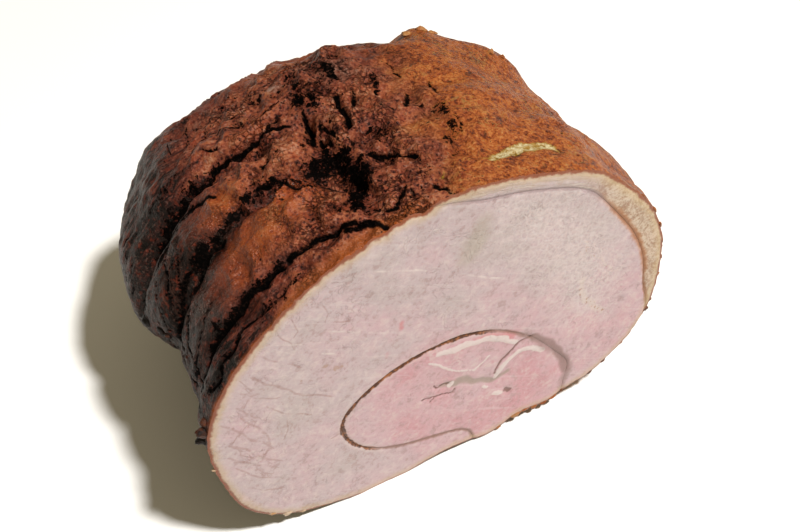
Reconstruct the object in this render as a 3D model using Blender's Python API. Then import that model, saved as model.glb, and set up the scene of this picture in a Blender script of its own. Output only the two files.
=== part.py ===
"""A roast veal roll: boned veal rolled round an inner muscle, tied, roasted and cut across.

The roll lies along Y on its underside. The cut face looks along -Y, and the tied, rounded end is at +Y.
Metres, +Z up, origin under the middle of the roll. Three pieces run through the meat from end to end:
  wrap  the thick outer muscle, open along the underside where its two edges meet the core
  core  the inner muscle that the wrap is rolled round
  flap  the thin outer layer that overlaps the wrap on the top and the right-hand side
"""
import bmesh
import bpy
import numpy as np

# Driving dimensions
LENGTH = 0.1186                # from the cut face to the rounded end
CENTRE_Z = 0.050               # height of the middle of a section, from which its angles are measured
HALF_RIGHT = 0.076
HALF_LEFT = 0.075
HALF_TOP = 0.062
HALF_BOTTOM = 0.0512           # a little more than CENTRE_Z, so that the roll rests on a flat
CUT_Y = -0.0605                # the cut face, with the origin under the middle of the roll
SHIFT_X = -0.0025              # the same for the middle of the cut face
GAP = 0.0003                   # clearance between neighbouring pieces of meat
WELD = 0.000005                # merges the crumbs of faces that the cuts leave

# How each half of a section closes towards the rounded end, as the exponent of a superellipse
CLOSE_RIGHT, CLOSE_LEFT, CLOSE_TOP, CLOSE_BOTTOM = 4.2, 3.45, 2.9, 5.0
# How square each quarter of a section is: 2 is an ellipse, more is squarer
ROUND_TOP_RIGHT, ROUND_TOP_LEFT, ROUND_LOW_LEFT, ROUND_LOW_RIGHT = 2.0, 1.85, 2.9, 2.5
SWELL_RIGHT, SWELL_LEFT, SWELL_TOP = 0.0030, 0.0016, 0.0027
END_DROP, END_SHIFT, END_LEAN = 0.0043, 0.0018, 0.0057
UNDERCUT_DEPTH, UNDERCUT_ANGLE, UNDERCUT_WIDTH = 0.0116, 212.0, 24.0

# Each string has gone, and has left its groove: distance from the cut, how much nearer the cut it runs on
# the right than in the middle, how much nearer it is drawn low on the left, half width, depth
STRINGS = (
    (0.0110, 0.0000, 0.0000, 0.0024, 0.0016),
    (0.0340, 0.0030, 0.0075, 0.0036, 0.0034),
    (0.0525, 0.0082, 0.0050, 0.0042, 0.0060),
)

# Lumps (+) and hollows (-) of the crust: angle, distance from the cut, half girth, half length, height
LUMPS = (
    (50.0, 0.080, 0.017, 0.015, 0.0031),     # the back of the flap stands proud, with knobs on its crest
    (40.0, 0.073, 0.008, 0.008, 0.0020),
    (54.0, 0.087, 0.005, 0.005, 0.0014),
    (53.0, 0.101, 0.011, 0.008, -0.0060),    # and drops away behind and beside its crest
    (62.0, 0.088, 0.006, 0.008, -0.0054),
    (85.0, 0.084, 0.006, 0.006, 0.0012),     # charred knobs at the top of the end
    (70.0, 0.087, 0.005, 0.005, 0.0008),
    (75.0, 0.078, 0.010, 0.012, -0.0015),
    (86.0, 0.101, 0.008, 0.008, -0.0022),
    (155.0, 0.101, 0.024, 0.011, 0.0022),    # the end is full at the upper left
    (130.0, 0.023, 0.014, 0.009, 0.0014),    # smooth bulges between the strings
    (140.0, 0.045, 0.014, 0.007, 0.0012),
    (110.0, 0.028, 0.0060, 0.0075, -0.0095),  # the deep charred pit
    (106.0, 0.017, 0.0022, 0.0075, -0.0035),
    (107.0, 0.045, 0.0032, 0.0100, -0.0034),
    (79.0, 0.030, 0.0024, 0.0140, -0.0022),  # pits along the free edge of the flap
    (182.0, 0.056, 0.006, 0.005, 0.0040),    # lip that droops on the left
    (200.0, 0.026, 0.024, 0.016, -0.0100),   # the left side tucks under between the lip and the cut
    (212.0, 0.040, 0.020, 0.010, -0.0040),
    (194.0, 0.045, 0.012, 0.009, -0.0062),
    (176.0, 0.038, 0.008, 0.007, -0.0048),
    (178.0, 0.020, 0.011, 0.009, -0.0026),
    (196.0, 0.000, 0.011, 0.020, -0.0018),
    (272.0, 0.000, 0.018, 0.018, -0.0036),   # the underside lifts at the cut
    (300.0, 0.000, 0.009, 0.018, -0.0042),
    (315.0, 0.000, 0.005, 0.010, -0.0014),
    (40.0, 0.056, 0.016, 0.008, -0.0036),    # waist of the right shoulder
    (29.0, 0.043, 0.009, 0.009, -0.0034),
    (18.0, 0.061, 0.010, 0.008, -0.0016),
    (33.0, 0.066, 0.006, 0.006, 0.0014),
    (34.0, 0.031, 0.007, 0.005, 0.0018),
    (29.0, 0.012, 0.009, 0.010, -0.0009),
    (342.0, 0.000, 0.010, 0.030, 0.0010),    # fullness of the flap near the cut
    (48.0, 0.000, 0.012, 0.030, 0.0012),
    (86.0, 0.000, 0.010, 0.030, 0.0010),
)
LUMP_SEED, LUMP_SIZE, LUMP_HEIGHT = 3, 0.021, 0.0018       # broad unevenness of the whole crust
CRAG_SEED, CRAG_SIZE, CRAG_HEIGHT = 11, 0.0095, 0.0022     # char crags on the top left

# The core's outline at the cut, as the chain of bends that its seam with the wrap makes: x, z
CORE_SEAM = (
    (0.0436, -0.0040), (0.0440, 0.0120), (0.0447, 0.0200), (0.0400, 0.0278), (0.0300, 0.0404), (0.0182, 0.0502),
    (0.0060, 0.0551), (-0.0060, 0.0554), (-0.0180, 0.0529), (-0.0290, 0.0470), (-0.0343, 0.0400),
    (-0.0340, 0.0325), (-0.0285, 0.0236), (-0.0170, 0.0166), (-0.0030, 0.0132), (0.0080, 0.0088), (0.0125, -0.0040),
)
SEAM_STEPS = 4                 # points from one bend of the seam to the next

# The flap: it reaches from its free edge on top, over the right-hand side, to its foot low on the right
FLAP_FOOT, FLAP_FOOT_RUN = -22.0, 20.0         # angle of the foot, and the degrees in which it thickens
FLAP_EDGE, FLAP_EDGE_RUN = 74.0, 24.0          # the same for the free edge, well behind the cut
FLAP_EDGE_SWING, FLAP_EDGE_REACH = 30.5, 0.024  # how much further over the top it starts at the cut
FLAP_THIN, FLAP_THICK, FLAP_THICK_ANGLE, FLAP_THICK_SPREAD = 0.0054, 0.0033, 22.0, 22.0
FLAP_END, FLAP_END_RUN = 0.108, 0.016          # where it ends near the rounded end
FLAP_CLEAR = 0.0012                            # how far outside the crust its space passes beyond its edges
FLAP_WANDER, FLAP_WAVE = 2.5, 0.0052           # degrees and wave length of the free edge's wandering

ROUND_COUNT = 78               # faces round the roll
ROW_STEP = 0.0031              # length of a face between the cut and the shoulder of the end
SHOULDER = 0.088
END_ROWS = 12


def smooth(x):
    """0 up to 1 with level ends."""
    x = np.clip(x, 0.0, 1.0)
    return x * x * (3.0 - 2.0 * x)


def noise(points, size, seed):
    """Gradient noise, about -1 to 1, over points of shape (..., 3), with features of the given size."""
    draw = np.random.RandomState(seed)
    order = draw.permutation(256)
    slopes = draw.normal(size=(256, 3))
    slopes /= np.linalg.norm(slopes, axis=1, keepdims=True)
    place = points / size
    cell = np.floor(place).astype(int)
    inner = place - cell
    fade = inner ** 3 * (inner * (inner * 6.0 - 15.0) + 10.0)
    total = 0.0
    for i in (0, 1):
        for j in (0, 1):
            for k in (0, 1):
                corner = cell + (i, j, k)
                pick = order[(corner[..., 2] + order[(corner[..., 1] + order[corner[..., 0] % 256]) % 256]) % 256]
                share = np.prod(np.where((i, j, k), fade, 1.0 - fade), axis=-1)
                total = total + share * np.sum(slopes[pick] * (inner - (i, j, k)), axis=-1)
    return total * 1.6


def closing(t, half, exponent):
    """Half size of a section at the fraction t of the length."""
    return half * np.maximum(1.0 - np.clip(t, 0.0, 1.0) ** exponent, 1e-9) ** (1.0 / exponent)


def body(angle, along):
    """Point of the roll without its relief: angle in degrees round the section, along from the cut face."""
    turn = np.radians(angle)
    c, s = np.cos(turn), np.sin(turn)
    t = along / LENGTH
    swell = np.sin(np.pi * np.clip(t, 0.0, 1.0))
    right = closing(t, HALF_RIGHT, CLOSE_RIGHT) + SWELL_RIGHT * swell
    left = closing(t, HALF_LEFT, CLOSE_LEFT) + SWELL_LEFT * swell
    top = closing(t, HALF_TOP, CLOSE_TOP) + SWELL_TOP * swell
    bottom = closing(t, HALF_BOTTOM, CLOSE_BOTTOM)
    wide = np.where(c >= 0, right, left)
    high = np.where(s >= 0, top, bottom)
    upper = np.where(c >= 0, ROUND_TOP_RIGHT, ROUND_TOP_LEFT)
    lower = np.where(c >= 0, ROUND_LOW_RIGHT, ROUND_LOW_LEFT)
    power = np.where(s >= 0, upper, lower)
    radius = ((np.abs(c) / wide) ** power + (np.abs(s) / high) ** power) ** (-1.0 / power)
    under = np.exp(-((np.mod(angle, 360.0) - UNDERCUT_ANGLE) / UNDERCUT_WIDTH) ** 2)
    radius = radius - UNDERCUT_DEPTH * under * np.clip(along / 0.025, 0.0, 1.0) * np.minimum(1.0, radius / 0.04)
    radius = np.maximum(radius, 0.0001)
    x = radius * c - END_SHIFT * t * t
    z = CENTRE_Z - END_DROP * t * t + radius * s
    y = along - END_LEAN * t * t * (z - CENTRE_Z) / CENTRE_Z
    return np.stack(np.broadcast_arrays(x, y, z), axis=-1)


def outward(angle, along):
    """Unit normal of the body, kept in the plane of the section near the cut face."""
    d_angle, d_along = 0.5, 0.0004
    along = np.clip(along, d_along, LENGTH * 0.9995 - d_along)
    round_way = body(angle + d_angle, along) - body(angle - d_angle, along)
    long_way = body(angle, along + d_along) - body(angle, along - d_along)
    normal = np.cross(long_way, round_way)
    normal[..., 1] *= smooth(along / 0.012)
    return normal / np.linalg.norm(normal, axis=-1, keepdims=True)


def string_bite(angle):
    """How deep a string bites: little into the top and hardly below, and fully into the left-hand side."""
    top_side = smooth(0.62 + 0.9 * np.sin(np.radians(angle)))
    return top_side * (0.26 + 0.66 * smooth((56.0 - angle) / 40.0) + 0.74 * smooth((angle - 102.0) / 24.0))


def string_line(angle, place, slant, gather):
    """Distance of a string's groove from the cut, angle by angle."""
    wander = 0.0008 * np.sin(np.radians(5.0 * angle))
    return place - slant * np.cos(np.radians(angle)) - gather * smooth((angle - 140.0) / 26.0) + wander


def relief(angle, along, base):
    """Height of the crust over the body: string grooves, lumps and pits, unevenness and char crags."""
    bite = string_bite(angle)
    height = np.zeros(np.shape(base)[:-1])
    for place, slant, gather, half_width, depth in STRINGS:
        aside = (along - string_line(angle, place, slant, gather)) / half_width
        height = height - depth * bite * np.exp(-aside ** 2)
    girth = 0.066 * np.radians(1.0)
    for lump_angle, lump_along, half_girth, half_length, lump_height in LUMPS:
        aside = (np.mod(angle - lump_angle + 180.0, 360.0) - 180.0) * girth / half_girth
        height = height + lump_height * np.exp(-aside ** 2 - ((along - lump_along) / half_length) ** 2)
    height = height + LUMP_HEIGHT * noise(base, LUMP_SIZE, LUMP_SEED) * smooth(0.25 + along / 0.02)
    char = smooth(1.3 - np.abs(angle - 112.0) / 42.0) * smooth(along / 0.01)
    crag = 0.45 - 2.2 * np.abs(noise(base, CRAG_SIZE, CRAG_SEED))
    return height + CRAG_HEIGHT * char * crag


def crust(angle, along):
    """Point of the crust, no lower than the surface the roll rests on."""
    base = body(angle, along)
    end = 0.35 + 0.65 * smooth((LENGTH - along) / 0.02)
    point = base + outward(angle, along) * (relief(angle, along, base) * end)[..., None]
    point[..., 1] = np.maximum(point[..., 1], 0.0)
    point[..., 2] = np.maximum(point[..., 2], 0.0)
    return point


def places_along():
    """Distances from the cut face at which the roll has a section, closer together round the end."""
    straight = np.arange(0.0, SHOULDER, ROW_STEP)
    swing = np.linspace(np.arcsin(SHOULDER / LENGTH), np.pi / 2 - 0.03, END_ROWS)
    return np.concatenate([straight, LENGTH * np.sin(swing)])


def flap_thickness(angle, along):
    """Thickness of the flap, below zero where there is none."""
    free_edge = FLAP_EDGE + FLAP_EDGE_SWING * np.exp(-along / FLAP_EDGE_REACH)
    free_edge = free_edge + FLAP_WANDER * np.sin(along / FLAP_WAVE) * smooth(along / 0.02)
    back_end = FLAP_END + 0.0025 * np.sin(np.radians(4.0 * angle)) - 0.010 * smooth((angle - 40.0) / 40.0)
    from_foot = smooth((angle - FLAP_FOOT) / FLAP_FOOT_RUN)
    from_edge = smooth((free_edge - angle) / FLAP_EDGE_RUN)
    from_end = smooth((back_end - along) / FLAP_END_RUN)
    thick = FLAP_THIN + FLAP_THICK * np.exp(-((angle - FLAP_THICK_ANGLE) / FLAP_THICK_SPREAD) ** 2)
    return (thick + FLAP_CLEAR) * from_foot * from_edge * from_end - FLAP_CLEAR


def smooth_chain(bends, steps):
    """Smooth open line through the bends (Catmull-Rom)."""
    bends = np.array(bends)
    ends = np.vstack([2 * bends[0] - bends[1], bends, 2 * bends[-1] - bends[-2]])
    line = []
    for before, start, stop, after in zip(ends, ends[1:], ends[2:], ends[3:]):
        for t in np.arange(steps) / steps:
            pull = (stop - before) * t + (2 * before - 5 * start + 4 * stop - after) * t * t
            line.append(start + 0.5 * (pull + (3 * start - before - 3 * stop + after) * t ** 3))
    return np.array(line + [bends[-1]])


def widened(outline, by):
    """Closed outline moved outwards by a small distance."""
    way = np.roll(outline, -1, axis=0) - np.roll(outline, 1, axis=0)
    way /= np.linalg.norm(way, axis=1, keepdims=True)
    side = np.stack([way[:, 1], -way[:, 0]], axis=1)
    area = np.sum(outline[:, 0] * np.roll(outline[:, 1], -1) - np.roll(outline[:, 0], -1) * outline[:, 1])
    return outline + side * by * np.sign(area)


def placed(points):
    """Points measured from the cut face, moved to the part's own origin."""
    return points + (SHIFT_X, CUT_Y, 0.0)


def loft(name, loops, slab=False):
    """Closed mesh through closed loops of points, one loop a row, with both ends filled.

    A slab's loop runs out along one side and back along the other, so its ends are filled from side to side.
    """
    rows, count = loops.shape[:2]
    mesh = bmesh.new()
    rings = [[mesh.verts.new(point) for point in loop] for loop in loops]
    for first, second in zip(rings, rings[1:]):
        for i in range(count):
            j = (i + 1) % count
            mesh.faces.new((first[i], first[j], second[j], second[i]))
    for ring in (rings[0][::-1], rings[-1]):
        if slab:
            for i in range(count // 2 - 1):
                mesh.faces.new((ring[i], ring[i + 1], ring[-2 - i], ring[-1 - i]))
        else:
            mesh.faces.new(ring)
    bmesh.ops.triangulate(mesh, faces=mesh.faces)
    bmesh.ops.recalc_face_normals(mesh, faces=mesh.faces)
    data = bpy.data.meshes.new(name)
    mesh.to_mesh(data)
    mesh.free()
    return data


def roll_mesh():
    """The whole roll as one closed mesh."""
    angle, along = np.meshgrid(np.arange(ROUND_COUNT) * 360.0 / ROUND_COUNT, places_along())
    return loft("roll", placed(crust(angle, along)))


def core_prism(name, by):
    """The space of the core, from before the cut face to behind the end."""
    outline = widened(smooth_chain(CORE_SEAM, SEAM_STEPS), by)
    loops = []
    for y in (-0.01, LENGTH + 0.01):
        loops.append(np.stack([outline[:, 0], np.full(len(outline), y), outline[:, 1]], axis=1))
    return loft(name, placed(np.array(loops)))


def flap_slab(name, by):
    """The space of the flap: its inner side follows the crust, its outer side stands clear of it."""
    step = 360.0 / ROUND_COUNT
    angle = step * np.arange(np.floor(FLAP_FOOT / step), np.ceil((FLAP_EDGE + FLAP_EDGE_SWING) / step) + 1.0)
    rows = places_along()
    loops = []
    for y in rows[rows < FLAP_END + ROW_STEP]:
        base = body(angle, y)
        out = outward(angle, y)
        low = relief(angle, y, base) - flap_thickness(angle, y) - by
        inner = base + out * low[:, None]
        outer = base + out * 0.012
        loops.append(np.vstack([inner, outer[::-1]]))
    front = loops[0] - (0.0, 0.006, 0.0)
    return loft(name, placed(np.array([front] + loops)), slab=True)


def material(name, colour, roughness):
    """Plain finish of one piece."""
    made = bpy.data.materials.new(name)
    made.use_nodes = True
    shader = made.node_tree.nodes["Principled BSDF"]
    shader.inputs["Base Color"].default_value = (*colour, 1.0)
    shader.inputs["Roughness"].default_value = roughness
    shader.inputs["Metallic"].default_value = 0.0
    return made


def add(name, data, collection, finish=None):
    """Named object in a collection; without a finish it is a cutter."""
    made = bpy.data.objects.new(name, data)
    collection.objects.link(made)
    if finish:
        data.materials.append(finish)
    else:
        made.hide_render = True
        made.display_type = "WIRE"
    return made


def cut(target, cutter, operation):
    """Boolean of a piece with one of the spaces. EXACT loses the core where its seam runs along the crust."""
    step = target.modifiers.new(cutter.name, "BOOLEAN")
    step.operation = operation
    step.object = cutter
    step.solver = "MANIFOLD"


def weld(piece):
    """Merge vertices that a cut leaves all but on each other."""
    step = piece.modifiers.new("weld", "WELD")
    step.merge_threshold = WELD


def main():
    for old in list(bpy.data.objects):
        bpy.data.objects.remove(old)
    pieces = bpy.data.collections.new("roast_veal_roll")
    spaces = bpy.data.collections.new("cutters")
    bpy.context.scene.collection.children.link(pieces)
    bpy.context.scene.collection.children.link(spaces)

    roll = roll_mesh()
    core_space = add("core_space", core_prism("core_space", 0.0), spaces)
    core_clear = add("core_clear", core_prism("core_clear", GAP), spaces)
    flap_space = add("flap_space", flap_slab("flap_space", 0.0), spaces)
    flap_clear = add("flap_clear", flap_slab("flap_clear", GAP), spaces)

    wrap = add("wrap", roll, pieces, material("roast_outer", (0.33, 0.17, 0.10), 0.5))
    cut(wrap, core_clear, "DIFFERENCE")
    cut(wrap, flap_clear, "DIFFERENCE")
    weld(wrap)
    core = add("core", roll.copy(), pieces, material("roast_inner", (0.62, 0.40, 0.36), 0.5))
    cut(core, core_space, "INTERSECT")
    weld(core)
    flap = add("flap", roll.copy(), pieces, material("roast_overlap", (0.45, 0.22, 0.10), 0.5))
    cut(flap, flap_space, "INTERSECT")
    weld(flap)


main()
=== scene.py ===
"""Looks of the roast veal roll: its crust and its cut meat at full detail, on a pale floor in studio light.

The three pieces repeat the form of the CAD solids that they replace, with a mesh fine enough for the crags,
wrinkles and cracks of the crust and for the grain and the seams of the cut face.
"""

import bmesh
import bpy
import numpy as np
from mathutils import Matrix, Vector, kdtree
from mathutils.geometry import delaunay_2d_cdt


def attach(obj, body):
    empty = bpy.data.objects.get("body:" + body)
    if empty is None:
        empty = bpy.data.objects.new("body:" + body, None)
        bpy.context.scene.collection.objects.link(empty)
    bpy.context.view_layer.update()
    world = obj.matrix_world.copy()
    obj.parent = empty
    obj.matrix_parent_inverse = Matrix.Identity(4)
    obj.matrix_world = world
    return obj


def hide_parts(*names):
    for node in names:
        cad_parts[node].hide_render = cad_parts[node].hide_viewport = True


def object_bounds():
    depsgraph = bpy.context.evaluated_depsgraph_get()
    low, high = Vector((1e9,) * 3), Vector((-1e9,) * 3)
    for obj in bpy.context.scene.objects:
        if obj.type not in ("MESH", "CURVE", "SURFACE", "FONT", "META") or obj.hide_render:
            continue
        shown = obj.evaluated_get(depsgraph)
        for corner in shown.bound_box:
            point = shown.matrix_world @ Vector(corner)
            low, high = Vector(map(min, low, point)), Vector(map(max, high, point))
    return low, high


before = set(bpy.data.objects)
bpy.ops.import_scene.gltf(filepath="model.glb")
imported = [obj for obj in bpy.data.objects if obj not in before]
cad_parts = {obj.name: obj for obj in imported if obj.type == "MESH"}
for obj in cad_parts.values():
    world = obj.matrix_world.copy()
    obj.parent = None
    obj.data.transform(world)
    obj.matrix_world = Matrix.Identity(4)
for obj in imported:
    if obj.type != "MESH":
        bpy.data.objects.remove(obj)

CAD_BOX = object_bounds()
MM = 0.001
MIDDLE_RADIUS = 0.066
GIRTH = np.radians(MIDDLE_RADIUS)      # crust that one degree of a section stands for

# ---------------------------------------------------------------- the roll's form, as in the CAD source
# Driving dimensions
LENGTH = 0.1186                # from the cut face to the rounded end
CENTRE_Z = 0.050               # height of the middle of a section, from which its angles are measured
HALF_RIGHT = 0.076
HALF_LEFT = 0.075
HALF_TOP = 0.062
HALF_BOTTOM = 0.0512           # a little more than CENTRE_Z, so that the roll rests on a flat
CUT_Y = -0.0605                # the cut face, with the origin under the middle of the roll
SHIFT_X = -0.0025              # the same for the middle of the cut face
SHOULDER = 0.088               # where the rounded end begins
WELD = 0.000005                # merges the crumbs of faces that the cuts leave

# How each half of a section closes towards the rounded end, as the exponent of a superellipse
CLOSE_RIGHT, CLOSE_LEFT, CLOSE_TOP, CLOSE_BOTTOM = 4.2, 3.45, 2.9, 5.0
# How square each quarter of a section is: 2 is an ellipse, more is squarer
ROUND_TOP_RIGHT, ROUND_TOP_LEFT, ROUND_LOW_LEFT, ROUND_LOW_RIGHT = 2.0, 1.85, 2.9, 2.5
SWELL_RIGHT, SWELL_LEFT, SWELL_TOP = 0.0030, 0.0016, 0.0027
END_DROP, END_SHIFT, END_LEAN = 0.0043, 0.0018, 0.0057
UNDERCUT_DEPTH, UNDERCUT_ANGLE, UNDERCUT_WIDTH = 0.0116, 212.0, 24.0

# Each string has gone, and has left its groove: distance from the cut, how much nearer the cut it runs on
# the right than in the middle, how much nearer it is drawn low on the left, half width, depth
STRINGS = (
    (0.0110, 0.0000, 0.0000, 0.0024, 0.0016),
    (0.0340, 0.0030, 0.0075, 0.0036, 0.0034),
    (0.0525, 0.0082, 0.0050, 0.0042, 0.0060),
)

# Places of the crust are an angle round the section in degrees and a distance from the cut in millimetres.
# Lumps (+) and hollows (-): place, half girth, half length, height
LUMPS = (
    # the back of the flap stands proud, with knobs on its crest, and drops away behind and beside it
    (50, 80, 17, 15, 3.1), (40, 73, 8, 8, 2), (54, 87, 5, 5, 1.4), (53, 101, 11, 8, -6), (62, 88, 6, 8, -5.4),
    # charred knobs at the top of the end, which is full at its upper left
    (85, 84, 6, 6, 1.2), (70, 87, 5, 5, 0.8), (75, 78, 10, 12, -1.5), (86, 101, 8, 8, -2.2),
    (155, 101, 24, 11, 2.2),
    # smooth bulges between the strings, the deep charred pit, and pits along the free edge of the flap
    (130, 23, 14, 9, 1.4), (140, 45, 14, 7, 1.2),
    (110, 28, 6, 7.5, -9.5), (106, 17, 2.2, 7.5, -3.5), (107, 45, 3.2, 10, -3.4), (79, 30, 2.4, 14, -2.2),
    # a lip droops on the left, and the left side tucks under between the lip and the cut
    (182, 56, 6, 5, 4), (200, 26, 24, 16, -10), (212, 40, 20, 10, -4), (194, 45, 12, 9, -6.2),
    (176, 38, 8, 7, -4.8), (178, 20, 11, 9, -2.6), (196, 0, 11, 20, -1.8),
    # the underside lifts at the cut
    (272, 0, 18, 18, -3.6), (300, 0, 9, 18, -4.2), (315, 0, 5, 10, -1.4),
    # the waist of the right shoulder
    (40, 56, 16, 8, -3.6), (29, 43, 9, 9, -3.4), (18, 61, 10, 8, -1.6), (33, 66, 6, 6, 1.4),
    (34, 31, 7, 5, 1.8), (29, 12, 9, 10, -0.9),
    # fullness of the flap near the cut
    (342, 0, 10, 30, 1), (48, 0, 12, 30, 1.2), (86, 0, 10, 30, 1),
)
LUMP_SEED, LUMP_SIZE, LUMP_HEIGHT = 3, 0.021, 0.0018       # broad unevenness of the whole crust
CRAG_SEED, CRAG_SIZE, CRAG_HEIGHT = 11, 0.0095, 0.0022     # char crags on the top left

# The flap: it reaches from its free edge on top, over the right-hand side, to its foot low on the right
FLAP_FOOT, FLAP_FOOT_RUN = -22.0, 20.0         # angle of the foot, and the degrees in which it thickens
FLAP_EDGE, FLAP_EDGE_RUN = 74.0, 24.0          # the same for the free edge, well behind the cut
FLAP_EDGE_SWING, FLAP_EDGE_REACH = 30.5, 0.024  # how much further over the top it starts at the cut
FLAP_THIN, FLAP_THICK, FLAP_THICK_ANGLE, FLAP_THICK_SPREAD = 0.0054, 0.0033, 22.0, 22.0
FLAP_END, FLAP_END_RUN = 0.108, 0.016          # where it ends near the rounded end
FLAP_CLEAR = 0.0012                            # how far outside the crust its space passes beyond its edges
FLAP_WANDER, FLAP_WAVE = 2.5, 0.0052           # degrees and wave length of the free edge's wandering

# ---------------------------------------------------------------- the finer mesh
FINE_ROUND = 500               # points round a section
FINE_ROW = 0.0008              # from one section to the next
FINE_END_ROW = 0.00115         # the same over the rounded end
FINE_END_POWER = 3.6           # the rounded end's mean profile, as the exponent of a superellipse
FINE_END_TIP = 0.03            # where the last section is, as a share of the radius
FINE_SEAM_STEPS = 14           # points from one bend of the core's seam to the next
FINE_GAP = 0.00008             # clearance between the pieces, hidden in their seams
FACE_STEP = 0.0007             # between the points of the cut face
FACE_ROW = 0.866 * FACE_STEP   # between their rows, as in a lattice of even triangles
FACE_WIDE, FACE_HIGH = 0.09, 0.08              # half the lattice, a little larger than the face
FACE_RIM = 0.55 * FACE_STEP    # how far inside the crust the lattice ends
FACE_JITTER, FACE_SEED = 0.12, 5               # how far each is off its place, as a share of the step
FACE_SEAM_STEPS = 8            # points from one bend of the seam to the next, for the marks beside it
WALL_DEPTH = 0.0016            # how far in the walls of a seam are browned
SLAB_ROUND, SLAB_ROW = 96, 0.0016              # points round the space of the flap, and from row to row
SLAB_OUT, SLAB_FRONT = 0.012, 0.006            # how far that space stands out of the crust and of the face
CORE_PAST = 0.01               # how far the space of the core passes both ends of the roll
SHARP_EDGE = 50.0              # degrees between faces from which an edge is left sharp

# ---------------------------------------------------------------- marks of the crust
# Black cracks: half width, depth, then the places that they pass
CRACKS = (
    (0.8, 1, (79, 47), (80, 44.5), (83, 39.5), (79, 39)), (0.6, 0.8, (69.5, 52), (72.5, 45.5), (73, 42.5)),
    (1, 1.2, (91, 54.5), (93, 51.5), (95, 47.5)), (1.3, 1.4, (96, 56), (97, 52), (98, 45), (100, 39)),
    (1, 1.2, (106, 54.5), (106.5, 52.5), (108.5, 44)),
    (0.7, 1, (104.5, 48.5), (106, 45.5), (106.5, 43), (105.5, 38.5)),
    (0.8, 1, (99.5, 27), (98, 25.5), (96, 24.5), (95, 25), (94, 22), (92.5, 20.5), (91, 18.5)),
    (0.7, 0.8, (97.5, 11), (99.5, 8.5), (101, 7.5)), (0.6, 0.8, (97.5, 8.5), (98, 5.5)),
    (0.8, 0.8, (102, 6.5), (104, 5.5), (106, 6.5)), (1, 0.8, (92, 6), (91.5, 4)),
    (1, 0.8, (90.5, 4), (90.5, 1.5)), (0.4, 0.3, (74.5, 29), (74.5, 25.5), (76, 22.5)),
    (0.6, 0.8, (133.5, 61), (130, 60.5), (126, 59.5), (121, 59.5), (117, 59), (112, 61)),
    (0.8, 1, (145.5, 53), (142.5, 52), (140, 50.5), (136, 47)), (0.7, 0.6, (116, 59), (111, 56.5)),
    (1, 0.6, (108, 2), (111, 6), (116, 7)), (0.55, 0.8, (68, 10.4), (66, 10.6), (64.5, 11.2)),
    (1, 0.8, (113.5, 8.5), (118, 9), (122, 11.5), (126.5, 11.5), (130.5, 11)),
)
# Finer wrinkles where the strings pulled the crust together, and short ones across the back: the same
WRINKLES = (
    (0.5, 0.8, (140.5, 35.5), (144, 36.5), (147.5, 36.5), (150.5, 36), (153, 34), (154.5, 29), (158.5, 26.5)),
    (0.45, 0.7, (149, 38), (154.5, 37), (156.5, 35.5), (159, 34), (162, 32.5), (164.5, 31), (167, 30)),
    (0.9, 1.2, (133, 11), (136, 12.5), (140, 12.7), (144.5, 13.3), (148.5, 12.8), (154.5, 12), (163.5, 10)),
    (0.55, 0.8, (149, 6), (153, 5.5), (157, 5), (159, 3.5), (164, 4)),
    (0.4, 0.5, (163, 30), (165, 27), (167.5, 24.5), (169.5, 22), (170, 18), (169.5, 13.5)),
    (0.4, 0.5, (158, 28), (160, 24.5), (162, 21.5), (163, 18.5), (164.5, 15.5), (166, 12.5), (165.5, 7.5)),
    (0.35, 0.5, (156, 43), (158, 40), (160, 37), (162.5, 34), (165, 31.5), (164.5, 25), (165.5, 21)),
    (0.35, 0.5, (149, 47), (151, 45), (153, 42.5), (154.5, 39.5), (156, 37), (158.5, 34)),
    (0.35, 0.4, (153, 50), (155.5, 46.5), (157, 41), (159, 37)),
    (0.35, 0.5, (150, 22), (154, 20), (156, 18), (158.5, 16.5), (161.5, 16), (164, 15.5)),
    (0.3, 0.4, (160, 46), (162.5, 41), (165, 37), (167, 33)), (0.3, 0.4, (157, 31), (159.5, 29), (162, 26)),
    (0.5, 0.6, (133, 4.5), (137.5, 4.5), (141.5, 5), (145.5, 6.5), (148.5, 6.5), (151.5, 6.5)),
    (0.55, 0.7, (106, 56), (107, 53), (108.5, 45), (109.5, 42)),
    (0.5, 0.6, (104.5, 47), (103.5, 42), (104, 38)), (0.35, 0.5, (121.5, 86), (124, 83.5), (124.5, 78)),
    (0.38, 0.5, (127, 83), (129, 78.5), (130.5, 75)),
    (0.38, 0.5, (136.5, 91), (135.5, 82.5), (136.5, 80), (136.5, 74)), (0.32, 0.5, (141, 91), (141, 80)),
    (0.32, 0.4, (112.5, 81.5), (115, 80)), (0.32, 0.5, (128.5, 63), (131, 64.5), (132.5, 66.5)),
    (0.45, 0.6, (74.5, 68), (74.5, 65), (76, 59.5), (77, 56)),
    (0.6, 0.6, (127, 38.5), (121.5, 37), (118.5, 28)),
    (0.45, 0.5, (113, 70), (117, 68.5), (122, 68), (127, 70)), (0.4, 0.4, (108, 65), (114, 64), (120, 64.5)),
    (0.4, 0.4, (118, 74), (124, 73), (130, 73.5), (135, 72)), (0.35, 0.4, (110, 86), (116, 87), (121, 90)),
)
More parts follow.
